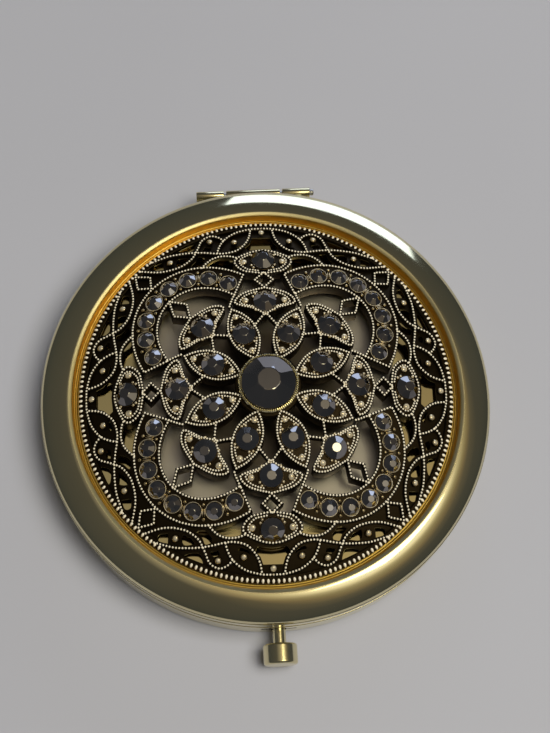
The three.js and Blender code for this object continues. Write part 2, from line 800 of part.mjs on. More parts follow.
// A stone set on the dome at a share place, tilted with the surface there
function setStone(name, geometry, share, degrees, parent) {
  const [x, y] = spot([share, 0], degrees);
  const distance = Math.hypot(x, y);
  const slope = (2 * domeRise * distance) / medallionRadius ** 2;
  const seat = new THREE.Group();
  seat.position.set(x, y, medallionBottom + deckThickness + domeAt(distance));
  const normal = new THREE.Vector3(slope * Math.cos(THREE.MathUtils.degToRad(degrees)),
    slope * Math.sin(THREE.MathUtils.degToRad(degrees)), 1).normalize();
  seat.quaternion.setFromUnitVectors(new THREE.Vector3(0, 0, 1), normal);
  const mesh = place(name, geometry, 'stone', seat);
  mesh.position.z = seatGap;
  mesh.rotation.z = THREE.MathUtils.degToRad(degrees + 180 / stoneSides);
  parent.add(seat);
}

function centreSetting() {
  const inner = centreStoneRadius + seatGap;
  const outer = inner + settingWall;
  return turned([
    [0, 0],
    [outer, 0],
    [outer, settingHeight - settingWall / 2],
    [outer - settingWall / 2, settingHeight],
    [inner, settingHeight],
    [inner, settingFloor],
    [0, settingFloor],
  ], settingFacets);
}

function build() {
  const leafHalf = hingeLength / 2;
  const near = middleKnuckle / 2 + knuckleGap;
  const middle = [-(middleKnuckle / 2 - seatGap), middleKnuckle / 2 - seatGap];

  place('base_shell', geometryOf(baseShell()), 'gold');
  place('base_pad', disc(mirrorRadius - seatGap, sheet + seatGap, sheet + seatGap + basePadThickness), 'foam');
  place('base_mirror', magnifier(), 'mirror');
  place('base_mirror_ring',
    geometryOf(mirrorRing([baseFlangeBottom, baseFlangeTop], sheet + seatGap)), 'gold');
  place('hinge_leaf_base',
    geometryOf(hingeLeaf(leafBaseBottom, [[-leafHalf, -near], [near, leafHalf]])), 'gold');
  const pinHeadStart = leafHalf + pinClearance;
  const pin = hingeRod(pinRadius, [-leafHalf, pinHeadStart + sink]);
  const pinHead = hingeRod(pinHeadRadius, [pinHeadStart, pinHeadStart + pinHeadLength]);
  place('hinge_pin', geometryOf(joined([pin, pinHead])), 'steel');
  place('latch_cage', geometryOf(latchCage()), 'steel');
  place('latch_spring', geometryOf(latchSpring()), 'steel');
  place('push_button', pushButton(), 'gold');
  place('latch_slider', geometryOf(latchSlider()), 'steel');

  place('lid_shell', geometryOf(lidShell()), 'gold');
  place('lid_pad', disc(mirrorRadius - seatGap, lidPadBottom, lidPadBottom + lidPadThickness), 'foam');
  place('lid_mirror', disc(mirrorRadius, lidMirrorBottom, lidMirrorBottom + lidMirrorThickness), 'mirror');
  place('lid_mirror_ring', geometryOf(mirrorRing([lidBottom, lidFlangeTop], lidFloorUnder - seatGap)), 'gold');
  place('hinge_leaf_lid', geometryOf(hingeLeaf(leafLidBottom, [middle])), 'gold');
  place('lid_catch', geometryOf(lidCatch()), 'steel');

  const ornament = new THREE.Group();
  ornament.rotation.z = THREE.MathUtils.degToRad(medallionTurn);
  compact.add(ornament);
  place('filigree_medallion', domed(geometryOf(medallion())), 'antique', ornament);
  const hubTop = medallionBottom + deckThickness + domeRise + seatGap;
  const setting = place('centre_setting', centreSetting(), 'gold', ornament);
  setting.position.z = hubTop;
  const centreStone = place('centre_stone', stone(centreStoneRadius, centreStoneHeight), 'stone', ornament);
  centreStone.position.z = hubTop + settingFloor + seatGap;
  eighths.forEach((axis, k) => {
    const petalStone = () => stone(petalStoneRadius, petalStoneHeight);
    setStone(`inner_petal_stone_${k + 1}`, petalStone(), innerStoneShare, axis + eighthTurn / 2, ornament);
    setStone(`outer_petal_stone_${k + 1}`, petalStone(), outerStoneShare, axis, ornament);
  });
  quarters.forEach((axis, k) => {
    setStone(`cusp_stone_${k + 1}`, stone(cuspStoneRadius, cuspStoneHeight), cuspStoneShare, axis, ornament);
  });
}

build();

export default compact;
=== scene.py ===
# %% [markdown]
# # A compact mirror with a domed filigree lid
# The object is a round pocket mirror case of polished, pale gold metal. A pierced casting sits
# in its lid, set with dark faceted stones and edged with rows of tiny beads. We start from the
# engineer's model, which gives every piece its real size and place, and dress it: pieces whose
# shape is too plain for a close look are modelled again in the same space, and every surface
# gets its finish.

# %% Load the model and measure it
import json
import math

import bpy
import numpy as np
from mathutils import Matrix, Vector


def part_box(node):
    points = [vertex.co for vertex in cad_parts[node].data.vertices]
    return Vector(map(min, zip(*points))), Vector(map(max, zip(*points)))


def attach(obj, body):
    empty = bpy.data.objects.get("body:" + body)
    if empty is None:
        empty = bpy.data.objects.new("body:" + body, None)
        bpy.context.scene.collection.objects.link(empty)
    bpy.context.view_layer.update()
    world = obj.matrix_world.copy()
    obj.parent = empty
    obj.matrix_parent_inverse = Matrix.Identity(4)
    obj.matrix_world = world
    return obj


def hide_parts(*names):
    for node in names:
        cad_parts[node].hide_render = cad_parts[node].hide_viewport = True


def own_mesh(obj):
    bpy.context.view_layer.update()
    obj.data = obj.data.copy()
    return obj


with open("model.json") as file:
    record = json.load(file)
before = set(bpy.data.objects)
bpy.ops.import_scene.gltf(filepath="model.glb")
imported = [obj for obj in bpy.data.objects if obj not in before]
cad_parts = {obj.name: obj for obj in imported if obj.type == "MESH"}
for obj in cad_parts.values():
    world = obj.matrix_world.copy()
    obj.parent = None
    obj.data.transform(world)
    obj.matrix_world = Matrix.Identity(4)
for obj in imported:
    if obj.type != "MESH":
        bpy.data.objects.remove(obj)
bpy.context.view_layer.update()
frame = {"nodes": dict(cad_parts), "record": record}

mm = 0.001
same_place, on_plane = 0.002 * mm, 0.001 * mm


def low(node):
    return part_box(node)[0] / mm


def high(node):
    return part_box(node)[1] / mm


case_radius = high("base_shell").y
base_top = high("base_shell").z
lid_bottom = low("lid_shell").z
rim_top = high("lid_shell").z
line_radius = high("lid_shell").x
casting_bottom = low("filigree_medallion").z
casting_radius = 29.1
pin_y, pin_z = 36.05, 5.45
print("case radius %.2f mm, rim top at %.2f mm" % (case_radius, rim_top))

# %% [markdown]
# ## The camera
# The photograph looks down on the closed case from the button's side, a little turned. Its long
# side is 733 pixels, and the lens was fitted at 1600 pixels of focal length, so a 36 mm sensor
# gives the lens below. The camera aims at a point on the plane of the bead ring.

# %% Camera
focal_pixels, long_side, sensor = 1600, 733, 36
ring_plane = casting_bottom + 1.18
distance = 249.4
elevation = math.radians(72.5)
roll = math.radians(7.42)
case_turn = math.radians(10.55)

back = Vector((0, -math.cos(elevation), math.sin(elevation)))
side = Vector((1, 0, 0))
up = back.cross(side)
to_case = Matrix.Rotation(-case_turn, 3, "Z")
view_right = to_case @ (side * math.cos(roll) + up * math.sin(roll))
view_up = to_case @ (up * math.cos(roll) - side * math.sin(roll))
aim = Vector((0.64, 5.04, 0))
place = to_case @ (aim + back * distance) + Vector((0, 0, ring_plane))

bpy.ops.object.camera_add()
camera = bpy.context.object
camera.data.sensor_width = sensor
camera.data.lens = focal_pixels * sensor / long_side
axes = Matrix((view_right, view_up, to_case @ back)).transposed()
camera.matrix_world = Matrix.Translation(place * mm) @ axes.to_4x4()
bpy.context.scene.camera = camera
print("lens %.1f mm, camera at" % camera.data.lens, [round(v / mm) for v in camera.location])

# %% [markdown]
# ## Helpers for the hand
# Blender's operators act on whatever is selected, and the loaded pieces are all selected at
# first. So each new piece starts with nothing selected, and these few helpers keep that habit
# in one place.

# %% Selecting and finishing
def deselect():
    if bpy.context.object and bpy.context.object.mode != "OBJECT":
        bpy.ops.object.mode_set(mode="OBJECT")
    bpy.ops.object.select_all(action="DESELECT")


def pick(*pieces):
    deselect()
    for piece in pieces:
        piece.select_set(True)
    bpy.context.view_layer.objects.active = pieces[0]


def edit(piece):
    pick(piece)
    bpy.ops.object.mode_set(mode="EDIT")
    bpy.ops.mesh.select_all(action="SELECT")


def smooth_by(piece, degrees):
    pick(piece)
    bpy.ops.object.shade_smooth_by_angle(angle=math.radians(degrees))


def joined(name, pieces):
    pick(*pieces)
    bpy.ops.object.join()
    piece = bpy.context.object
    piece.name = name
    return piece


def bevelled(piece, width, segments, degrees):
    """Breaks every edge where the surface turns by more than an angle."""
    soft = piece.modifiers.new("edges", "BEVEL")
    soft.width = width * mm
    soft.segments = segments
    soft.limit_method = "ANGLE"
    soft.angle_limit = math.radians(degrees)
    pick(piece)
    bpy.ops.object.modifier_apply(modifier="edges")


def dress(piece, body, slot, material, *replaced):
    """Says what the piece rides on, what it stands for, and gives it its finish."""
    piece.data.materials.clear()
    piece.data.materials.append(material)
    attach(piece, body)
    if replaced:
        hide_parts(*replaced)


def arc(centre, radius, start, end, steps):
    angles = [math.radians(start + (end - start) * i / steps) for i in range(steps + 1)]
    return [(centre[0] + radius * math.cos(a), centre[1] + radius * math.sin(a)) for a in angles]


# %% [markdown]
# ## Finishes
# Each finish is a small tree of nodes on object coordinates, so it stays with its piece in any
# view.

# %% Node helpers
def new_material(name):
    material = bpy.data.materials.new(name)
    material.use_nodes = True
    nodes, links = material.node_tree.nodes, material.node_tree.links
    shader = nodes["Principled BSDF"]
    coordinates = nodes.new("ShaderNodeTexCoord")
    return material, nodes, links, shader, coordinates.outputs["Object"]


def noise(nodes, links, coordinates, scale, detail=3):
    texture = nodes.new("ShaderNodeTexNoise")
    texture.inputs["Scale"].default_value = scale
    texture.inputs["Detail"].default_value = detail
    links.new(coordinates, texture.inputs["Vector"])
    return texture.outputs["Fac"]


def ramp(nodes, links, factor, *stops):
    """Turns a factor into a colour or a grey, from (position, colour) stops."""
    node = nodes.new("ShaderNodeValToRGB")
    points = node.color_ramp.elements
    while len(points) < len(stops):
        points.new(0.5)
    for point, (position, colour) in zip(points, stops):
        point.position = position
        point.color = (colour, colour, colour, 1) if isinstance(colour, float) else (*colour, 1)
    links.new(factor, node.inputs["Fac"])
    return node.outputs["Color"]


def blend(nodes, links, share, first, second):
    """The first colour where the share is 0, and the second where it is 1."""
    mix = nodes.new("ShaderNodeMix")
    mix.data_type = "RGBA"
    links.new(share, mix.inputs["Factor"])
    links.new(first, mix.inputs["A"])
    if isinstance(second, tuple):
        mix.inputs["B"].default_value = (*second, 1)
    else:
        links.new(second, mix.inputs["B"])
    return mix.outputs["Result"]


def bump(nodes, links, shader, height, strength, depth):
    node = nodes.new("ShaderNodeBump")
    node.inputs["Strength"].default_value = strength
    node.inputs["Distance"].default_value = depth
    links.new(height, node.inputs["Height"])
    links.new(node.outputs["Normal"], shader.inputs["Normal"])


# %% [markdown]
# Most of the case is one polished, pale gold. The lid's floor shows through the casting and
# changes with the distance from the axis: dark brown painted shade in the deep middle, then dull
# and nearly colourless, yellow below the border, and in the groove a deep, lacquered yellow that
# is deepened by painted bounced light. A distance of 1 stands for 40 mm here.

# %% Polished gold
reach_scale = 25
floor_tints_and_painted_light = (
    (((0.50, 1.0), (0.53, 0.0)), (0.64, 0.60, 0.57)),
    # A dark brown painted shade where the floor lies deep under the middle of the dome.
    (((0.26, 1.0), (0.40, 0.0)), (0.20, 0.17, 0.14)),
    (((0.51, 0.0), (0.54, 1.0), (0.705, 1.0), (0.715, 0.0)), (0.86, 0.73, 0.38)),
    # The groove's lacquered yellow, deepened by painted bounced light between its walls.
    (((0.705, 0.0), (0.715, 1.0), (0.751, 1.0), (0.756, 0.0)), (0.98, 0.68, 0.18)),
)
dull_zone = ((0.52, 1.0), (0.56, 0.0), (0.725, 0.0), (0.73, 1.0), (0.7655, 1.0), (0.77, 0.0))


def distance_from_axis(nodes, links, where):
    flat = nodes.new("ShaderNodeVectorMath")
    flat.operation = "MULTIPLY"
    links.new(where, flat.inputs[0])
    flat.inputs[1].default_value = (reach_scale, reach_scale, 0)
    length = nodes.new("ShaderNodeVectorMath")
    length.operation = "LENGTH"
    links.new(flat.outputs["Vector"], length.inputs[0])
    return length.outputs["Value"]


def polished_gold(zoned=False, least=0.05, most=0.11):
    """Pale gold, whose roughness wanders between least and most; zoned is the lid's kind."""
    material, nodes, links, shader, where = new_material("polished_gold")
    shader.inputs["Metallic"].default_value = 1
    tone = noise(nodes, links, where, 60)
    colour = ramp(nodes, links, tone, (0.3, (0.76, 0.67, 0.40)), (0.7, (0.80, 0.72, 0.45)))
    smudge = noise(nodes, links, where, 160, 6)
    roughness = ramp(nodes, links, smudge, (0.35, least), (0.75, most))
    if zoned:
        reached = distance_from_axis(nodes, links, where)
        # Tints by distance from the axis: the dark middle is painted shade, and the groove's deep
        # yellow is partly painted bounced light.
        for stops, tint in floor_tints_and_painted_light:
            colour = blend(nodes, links, ramp(nodes, links, reached, *stops), colour, tint)
        dull = ramp(nodes, links, smudge, (0.3, 0.32), (0.75, 0.42))
        share = ramp(nodes, links, reached, *dull_zone)
        roughness = blend(nodes, links, share, roughness, dull)
    links.new(colour, shader.inputs["Base Color"])
    links.new(roughness, shader.inputs["Roughness"])
    return material


# %% [markdown]
# The casting is antique brass: blackened all over, and rubbed bright where a cloth reaches. The
# near-white, less metallic tops of beads, shots and small collars are a painted highlight on top
# of that. An attribute on the mesh, made when the dome is bent, says how high each point lies,
# and a little noise breaks up its even steps. The other finishes are plainer.

# %% Other finishes
def antique_brass():
    material, nodes, links, shader, where = new_material("antique_brass")
    patina_and_highlight_share = nodes.new("ShaderNodeAttribute")
    patina_and_highlight_share.attribute_name = "patina_and_highlight_share"
    wear_and_highlight_sum = nodes.new("ShaderNodeMath")
    wear_and_highlight_sum.operation = "MULTIPLY_ADD"
    links.new(noise(nodes, links, where, 1800, 4), wear_and_highlight_sum.inputs[0])
    wear_and_highlight_sum.inputs[1].default_value = 0.24
    links.new(patina_and_highlight_share.outputs["Fac"], wear_and_highlight_sum.inputs[2])
    wear_and_highlight = wear_and_highlight_sum.outputs[0]
    # The colour runs from black patina at the foot up to a painted highlight, near white, on the
    # tops.
    patina_and_highlight = ramp(nodes, links, wear_and_highlight, (0.25, (0.042, 0.030, 0.017)), (0.5, (0.15, 0.10, 0.05)),
                  (0.7, (0.74, 0.56, 0.28)), (0.92, (1.0, 0.89, 0.63)))
    links.new(patina_and_highlight, shader.inputs["Base Color"])
    bump(nodes, links, shader, noise(nodes, links, where, 2600, 2), 0.25, 0.04 * mm)
    links.new(ramp(nodes, links, wear_and_highlight, (0.3, 0.5), (0.8, 0.2)), shader.inputs["Roughness"])
    # The tops turn less metallic, so that their painted highlight shows as bright colour.
    links.new(ramp(nodes, links, wear_and_highlight, (0.72, 1.0), (1.0, 0.1)), shader.inputs["Metallic"])
    return material


def plain_finish(name, scale, detail, tones, roughness, metallic=1, pitted=False):
    """Two tones that follow a noise, and a roughness that is even or follows it too."""
    material, nodes, links, shader, where = new_material(name)
    pattern = noise(nodes, links, where, scale, detail)
    links.new(ramp(nodes, links, pattern, *tones), shader.inputs["Base Color"])
    if isinstance(roughness, tuple):
        links.new(ramp(nodes, links, pattern, *roughness), shader.inputs["Roughness"])
    else:
        shader.inputs["Roughness"].default_value = roughness
    shader.inputs["Metallic"].default_value = metallic
    if pitted:
        bump(nodes, links, shader, pattern, 0.4, 0.1 * mm)
    return material


gold, brass = polished_gold(), antique_brass()
stone = plain_finish("hematite", 120, 3,
                     ((0.35, (0.27, 0.255, 0.25)), (0.65, (0.33, 0.31, 0.30))), 0.06)
steel = plain_finish("brushed_steel", 900, 3,
                     ((0.3, (0.50, 0.49, 0.46)), (0.7, (0.60, 0.59, 0.56))),
                     ((0.3, 0.25), (0.7, 0.4)))
glass = plain_finish("mirror_glass", 90, 5,
                     ((0.4, (0.86, 0.88, 0.88)), (0.7, (0.82, 0.84, 0.85))),
                     ((0.45, 0.01), (0.8, 0.05)))
padding = plain_finish("foam", 2500, 2, ((0.3, (0.55, 0.54, 0.50)), (0.7, (0.70, 0.69, 0.66))),
                       0.9, metallic=0, pitted=True)
zoned_gold, satin_gold = polished_gold(zoned=True), polished_gold(least=0.14, most=0.22)
finish_of = {"polished_gold": gold, "antique_brass": brass, "steel": steel,
             "mirror_glass": glass, "foam": padding, "stone": stone}
for row in frame["record"]["subparts"]:
    node = frame["nodes"][row["node"]]
    for slot in node.material_slots:
        slot.material = finish_of[row["material_slot"]]

# %% [markdown]
# ## Turned pieces
# The shells, mirrors and rings are turned or spun on a lathe in the workshop. In Blender the
# same shape is one outline, drawn point by point by extruding a single vertex, and then spun
# about the axis.

# %% Trace a line
def traced(name, points):
    """Edges through points in millimetres, left in edit mode with all selected."""
    deselect()
    bpy.ops.mesh.primitive_plane_add(size=mm)
    piece = bpy.context.object
    piece.name = name
    bpy.ops.object.mode_set(mode="EDIT")
    bpy.ops.mesh.merge(type="CENTER")
    bpy.ops.transform.translate(value=tuple(v * mm for v in points[0]))
    for start, end in zip(points, points[1:]):
        step = tuple((b - a) * mm for a, b in zip(start, end))
        bpy.ops.mesh.extrude_region_move(TRANSFORM_OT_translate={"value": step})
    bpy.ops.mesh.select_all(action="SELECT")
    return piece


# %% Spin an outline
def supported(outline, long_part=0.6, near_end=0.05):
    """Two more points near the ends of each long straight part keep its shading flat."""
    points = []
    for (r0, z0), (r1, z1) in zip(outline, outline[1:]):
        points.append((r0, z0))
        length = math.hypot(r1 - r0, z1 - z0)
        if length > long_part:
            points += [(r0 + (r1 - r0) * t, z0 + (z1 - z0) * t)
                       for t in (near_end / length, 1 - near_end / length)]
    return [*points, outline[-1]]


def turned(name, outline, steps=180, sharp=32):
    piece = traced(name, [(r, 0, z) for r, z in supported(outline)])
    bpy.ops.mesh.spin(steps=steps, angle=math.tau, center=(0, 0, 0), axis=(0, 0, 1))
    bpy.ops.mesh.select_all(action="SELECT")
    bpy.ops.mesh.remove_doubles(threshold=same_place)
    bpy.ops.mesh.normals_make_consistent(inside=False)
    smooth_by(piece, sharp)
    print(name, len(piece.data.polygons), "faces")
    return piece


# %% [markdown]
# The lid's rim is a convex crown. Its slope is written down in degrees at some distances from
# the axis, and adding up the slopes gives the outline. Inside it, a small bevelled lip leads
# down to the groove, whose floor has two fine ridges.

# %% Lid shell
sheet = 0.7
recess_radius = 30.04
lid_floor = casting_bottom - 0.2
crown_start, crown_end, crown_steps = 30.62, 34.69, 42
crown_slopes = [(crown_start, 0), (30.85, 7), (31.1, 11.5), (31.6, 16), (32.2, 20), (32.8, 22.5),
                (33.4, 26), (34.0, 31), (34.4, 37), (crown_end, 44)]
lip = [(30.56, -0.008), (30.48, -0.025), (30.14, -0.115), (30.07, -0.16), (recess_radius, -0.26)]
reach = np.linspace(crown_start, crown_end, crown_steps)
fall = np.tan(np.radians(np.interp(reach, *zip(*crown_slopes))))
drop = np.concatenate(([0], np.cumsum((fall[1:] + fall[:-1]) / 2 * np.diff(reach))))
crown = [(r, rim_top - d) for r, d in zip(reach, drop)]
foot = crown[-1][1]
edge_round = [(34.80, foot - 0.12), (34.88, foot - 0.28), (34.93, foot - 0.50), (34.95, 8.40)]
print("crown ends at %.2f, %.2f" % crown[-1])
line_height, line_round = 8.21, 0.17
ridge = lid_floor + 0.07
wall_inside = case_radius - sheet
lid_shell = turned("lid_shell_fine", [
    (0, lid_floor - sheet), (recess_radius + sheet, lid_floor - sheet),
    (31.5, 9.85), (33, 8.9), (wall_inside, 7.6), (wall_inside, lid_bottom + 0.1),
    (wall_inside + 0.1, lid_bottom),
    *arc((case_radius - 0.22, lid_bottom + 0.15), 0.15, 270, 360, 4),
    (case_radius - 0.07, line_height - 0.22),
    *arc((line_radius - line_round, line_height), line_round, -70, 70, 8),
    *edge_round[::-1], *crown[::-1], *[(r, rim_top + z) for r, z in lip],
    *arc((recess_radius - 0.3, lid_floor + 0.3), 0.3, 0, -90, 6),
    (29.8, lid_floor), (29.7, ridge), (29.6, lid_floor), (29.48, lid_floor),
    (29.38, ridge), (29.28, lid_floor), (28.4, lid_floor),
    (0, lid_floor),
], steps=240)


def slotted(piece, *boxes):
    """Cuts square slots, each given by its lowest and highest corner in millimetres."""
    for low_corner, high_corner in boxes:
        deselect()
        bpy.ops.mesh.primitive_cube_add(size=mm)
        cutter = bpy.context.object
        size = Vector(high_corner) - Vector(low_corner)
        middle = (Vector(high_corner) + Vector(low_corner)) / 2
        cutter.data.transform(Matrix.Translation(middle * mm) @ Matrix.Diagonal((*size, 1)))
        cut = piece.modifiers.new("slot", "BOOLEAN")
        cut.operation = "DIFFERENCE"
        cut.object = cutter
        pick(piece)
        bpy.ops.object.modifier_apply(modifier="slot")
        bpy.data.objects.remove(cutter)
    print(piece.name, "slotted,", len(piece.data.polygons), "faces")


leaf_slot = ((-4.6, 33, 6.05), (4.6, 36, 6.95))
slotted(lid_shell, leaf_slot)
dress(lid_shell, "lid", "polished_gold", zoned_gold, "lid_shell")

# %% Base shell
base_shell = turned("base_shell_fine", [
    (0, 0), *arc((case_radius - 1, 1), 1, -90, 0, 10),
    *arc((case_radius - 0.12, base_top - 0.12), 0.12, 0, 90, 4),
    (wall_inside, base_top), *arc((case_radius - 1, 1), 0.3, 0, -90, 4), (0, sheet),
], steps=240)
leaf_slots = (((4.6, 32, 3.75), (9.5, 36, 4.65)), ((-9.5, 32, 3.75), (-4.6, 36, 4.65)))
stem_openings = (((-2.7, -36, 3.22), (2.7, -33, 3.68)), ((-1.1, -36, 2.35), (1.1, -33, 4.55)))
slotted(base_shell, *leaf_slots, *stem_openings)
dress(base_shell, "base", "polished_gold", gold, "base_shell")

# %% Push button
button_end, stem_height = low("push_button").y, 3.45
cap_radius, cap_length, stem_radius, stem_length = 2.62, 3.2, 1.0, 4.5
button = turned("push_button_fine", [
    (0, 0), (0.8, 0), (cap_radius - 0.55, 0.05),
    *arc((cap_radius - 0.45, 0.5), 0.45, -90, 0, 8),
    *arc((cap_radius - 0.3, cap_length - 0.3), 0.3, 0, 90, 6),
    (stem_radius + 0.15, cap_length), (stem_radius, cap_length + 0.15),
    (stem_radius, cap_length + stem_length), (0, cap_length + stem_length),
], steps=96)
pick(button)
button.data.transform(Matrix.Translation((0, button_end * mm, stem_height * mm))
                      @ Matrix.Rotation(math.radians(-90), 4, "X"))
dress(button, "button", "polished_gold", satin_gold, "push_button")

# %% [markdown]
# A ring holds each mirror by its edge. It has two notches, through which the lid's catch
# passes. The lid's mirror is flat with a ground edge, and the base's is dished to magnify.

# %% Mirrors and the rings that hold them
notch_half, notch_places = 1.1, (-3.5, 3.5)
for name, flange, collar_end, body in (("base_mirror_ring", (4.65, 5.1), 0.9, "base"),
                                       ("lid_mirror_ring", (5.6, 6.05), 7.95, "lid")):
    face, rear = (flange[1], flange[0]) if body == "base" else flange
    inward = math.copysign(1, rear - face)
    ring_piece = turned(name + "_fine", [
        (26.8, rear), (26.8, face + 0.25 * inward), (26.9, face + 0.08 * inward), (27.1, face),
        (27.5, face + 0.1 * inward), (27.9, face), (33.9, face), (34.1, face + 0.12 * inward),
        (34.1, rear), (28.6, rear), (28.6, collar_end), (28.2, collar_end), (28.2, rear),
        (26.8, rear),
    ], steps=180)
    slotted(ring_piece, *[((x - notch_half, -36, flange[0] - 0.1),
                           (x + notch_half, -31.9, flange[1] + 0.1)) for x in notch_places])
    dress(ring_piece, body, "polished_gold", gold, name)

mirror_radius, dish_depth = 28, 0.75
lid_mirror = turned("lid_mirror_fine", [
    (0, 6.25), (27.6, 6.25), (27.9, 6.4), (mirror_radius, 6.55), (mirror_radius, 7.2), (27.9, 7.35),
    (0, 7.35)], steps=180)
dress(lid_mirror, "lid", "mirror_glass", glass, "lid_mirror")


def dish(floor, radii):
    return [(r, floor + dish_depth * (r / mirror_radius) ** 2) for r in radii]


base_mirror = turned("base_mirror_fine", [
    *dish(2.5, np.linspace(0, 27.9, 16)), (mirror_radius, 3.35), (mirror_radius, 4.3),
    *dish(3.7, np.linspace(27.85, 0, 24))], steps=180)
dress(base_mirror, "base", "mirror_glass", glass, "base_mirror")

# %% [markdown]
# Behind each mirror lies a disc of foam that takes up the play. Its edge is cut soft and its
# skin is not quite even, so after the spin its points are moved a little by a smooth pattern.

# %% Foam pads
pad_radius, unevenness = 27.8, 0.03
for name, bottom, top, body in (("base_pad", 0.9, 2.3, "base"), ("lid_pad", 7.55, 7.95, "lid")):
    puff = min(0.3, (top - bottom) / 2 - 0.02)
    edge_middle = pad_radius - puff
    rings = np.linspace(2, edge_middle, 14)
    pad = turned(name + "_fine", [
        (0, bottom), *[(r, bottom) for r in rings],
        *arc((edge_middle, bottom + puff), puff, -90, 0, 4)[1:],
        *arc((edge_middle, top - puff), puff, 0, 90, 4), *[(r, top) for r in rings[::-1]],
        (0, top)], steps=96, sharp=80)
    for point in pad.data.vertices:
        x, y = point.co.x / mm, point.co.y / mm
        if point.co.z / mm > top - 0.01:
            wave_here = math.sin(1.3 * x + 0.4 * y) * math.sin(0.9 * y - 0.5 * x)
            point.co.z -= unevenness * mm * (1 + wave_here)
    dress(pad, body, "foam", padding, name)

# %% [markdown]
# ## Hinge
# Each leaf is a strip of sheet metal that comes out of its slot, bends up along the wall and is
# rolled round the pin. One extruded line gives the strip, Solidify its thickness and Bevel its
# broken edges.

# %% Rolled leaves
roll_radius, bend_radius, leaf_sheet = 0.63, 0.35, 0.32
base_plate, lid_plate = 4.13, 6.57
leaf_half, knuckle_start, lid_leaf_half = 9.3, 4.8, 4.4


def strip(name, path, start, end):
    """A path in (y, z), widened along x and given the thickness of the sheet."""
    piece = traced(name, [(start, y, z) for y, z in path])
    bpy.ops.mesh.extrude_region_move(TRANSFORM_OT_translate={"value": ((end - start) * mm, 0, 0)})
    bpy.ops.object.mode_set(mode="OBJECT")
    thick = piece.modifiers.new("sheet", "SOLIDIFY")
    thick.thickness = leaf_sheet * mm
    thick.offset = 0
    thick.use_even_offset = True
    pick(piece)
    bpy.ops.object.modifier_apply(modifier="sheet")
    bevelled(piece, 0.07, 2, 50)
    smooth_by(piece, 40)
    return piece


def leaf_path(plate_z):
    """Plate, bend, web and roll; the base's plate lies below the pin and the lid's above it."""
    away = math.copysign(1, pin_z - plate_z)
    web_y = pin_y - roll_radius
    bend = [(web_y - bend_radius + bend_radius * math.sin(t),
             plate_z + away * bend_radius * (1 - math.cos(t)))
            for t in np.linspace(0, math.pi / 2, 7)]
    roll = [(pin_y + roll_radius * math.cos(t), pin_z + away * roll_radius * math.sin(t))
            for t in np.radians(np.linspace(180, -140, 33))]
    return [(32.4, plate_z), *bend, *roll]


leaf_parts = [strip("roll", leaf_path(base_plate), x0, x1)
              for x0, x1 in ((-leaf_half, -knuckle_start), (knuckle_start, leaf_half))]
leaf_parts.append(strip("plate", [(y, base_plate) for y in (29.3, 30.9, 32.5)],
                        -leaf_half, leaf_half))
leaf_base = joined("hinge_leaf_base_fine", leaf_parts)
dress(leaf_base, "base", "polished_gold", satin_gold, "hinge_leaf_base")
leaf_lid = strip("hinge_leaf_lid_fine",
                 [(29.3, lid_plate), (30.9, lid_plate), *leaf_path(lid_plate)],
                 -lid_leaf_half, lid_leaf_half)
dress(leaf_lid, "lid", "polished_gold", satin_gold, "hinge_leaf_lid")
print("leaves", len(leaf_base.data.polygons), len(leaf_lid.data.polygons), "faces")

# %% Hinge pin
hinge_pin = turned("hinge_pin_fine", [
    (0, -9.3), (0.3, -9.3), (0.4, -9.2), (0.4, 9.38), (0.52, 9.4), (0.52, 9.75), (0.46, 9.92),
    (0.3, 10.0), (0, 10.03)], steps=40)
hinge_pin.data.transform(Matrix.Translation((0, pin_y * mm, pin_z * mm))
                         @ Matrix.Rotation(math.radians(90), 4, "Y"))
dress(hinge_pin, "base", "steel", steel, "hinge_pin")

# %% [markdown]
# ## Latch
# The small steel parts inside are stamped or bent, so their edges are broken. The engineer's
# solid has their exact shape. A copy of it is merged, freed of needless edges and given a small
# bevel. The bowed leaf spring flattens when the button is pushed; here it only gets a mesh of
# its own.

# %% Broken edges
def softened(node, body, width):
    source = frame["nodes"][node]
    deselect()
    piece = bpy.data.objects.new(node + "_fine", source.data.copy())
    piece.data.transform(source.matrix_world)
    bpy.context.scene.collection.objects.link(piece)
    edit(piece)
    bpy.ops.mesh.remove_doubles(threshold=same_place)
    bpy.ops.mesh.dissolve_limited(angle_limit=math.radians(1))
    bpy.ops.object.mode_set(mode="OBJECT")
    bevelled(piece, width, 2, 30)
    smooth_by(piece, 35)
    dress(piece, body, "steel", steel, node)
    print(piece.name, len(piece.data.polygons), "faces")
    return piece


softened("latch_cage", "base", 0.06)
spring = softened("latch_spring", "base", 0.04)
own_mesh(spring)
softened("latch_slider", "button", 0.08)
softened("lid_catch", "lid", 0.08)

# %% [markdown]
# ## The filigree, drawn flat
# The casting is a dome, but it is far easier to draw it flat and bend it at the end. It repeats
# eight times, so only one petal or border line is written down, as places in millimetres, and
# turned round. A smooth line through the places serves twice: as the wall, and as the path for
# its row of beads.

# %% Lines of the ornament
def turn(points, degrees):
    a = math.radians(degrees)
    points = np.asarray(points, float)
    return np.column_stack((points[:, 0] * math.cos(a) - points[:, 1] * math.sin(a),
                            points[:, 0] * math.sin(a) + points[:, 1] * math.cos(a)))


def at(u, v, degrees):
    """One flat place, turned round the axis."""
    return turn([(u, v)], degrees)[0]


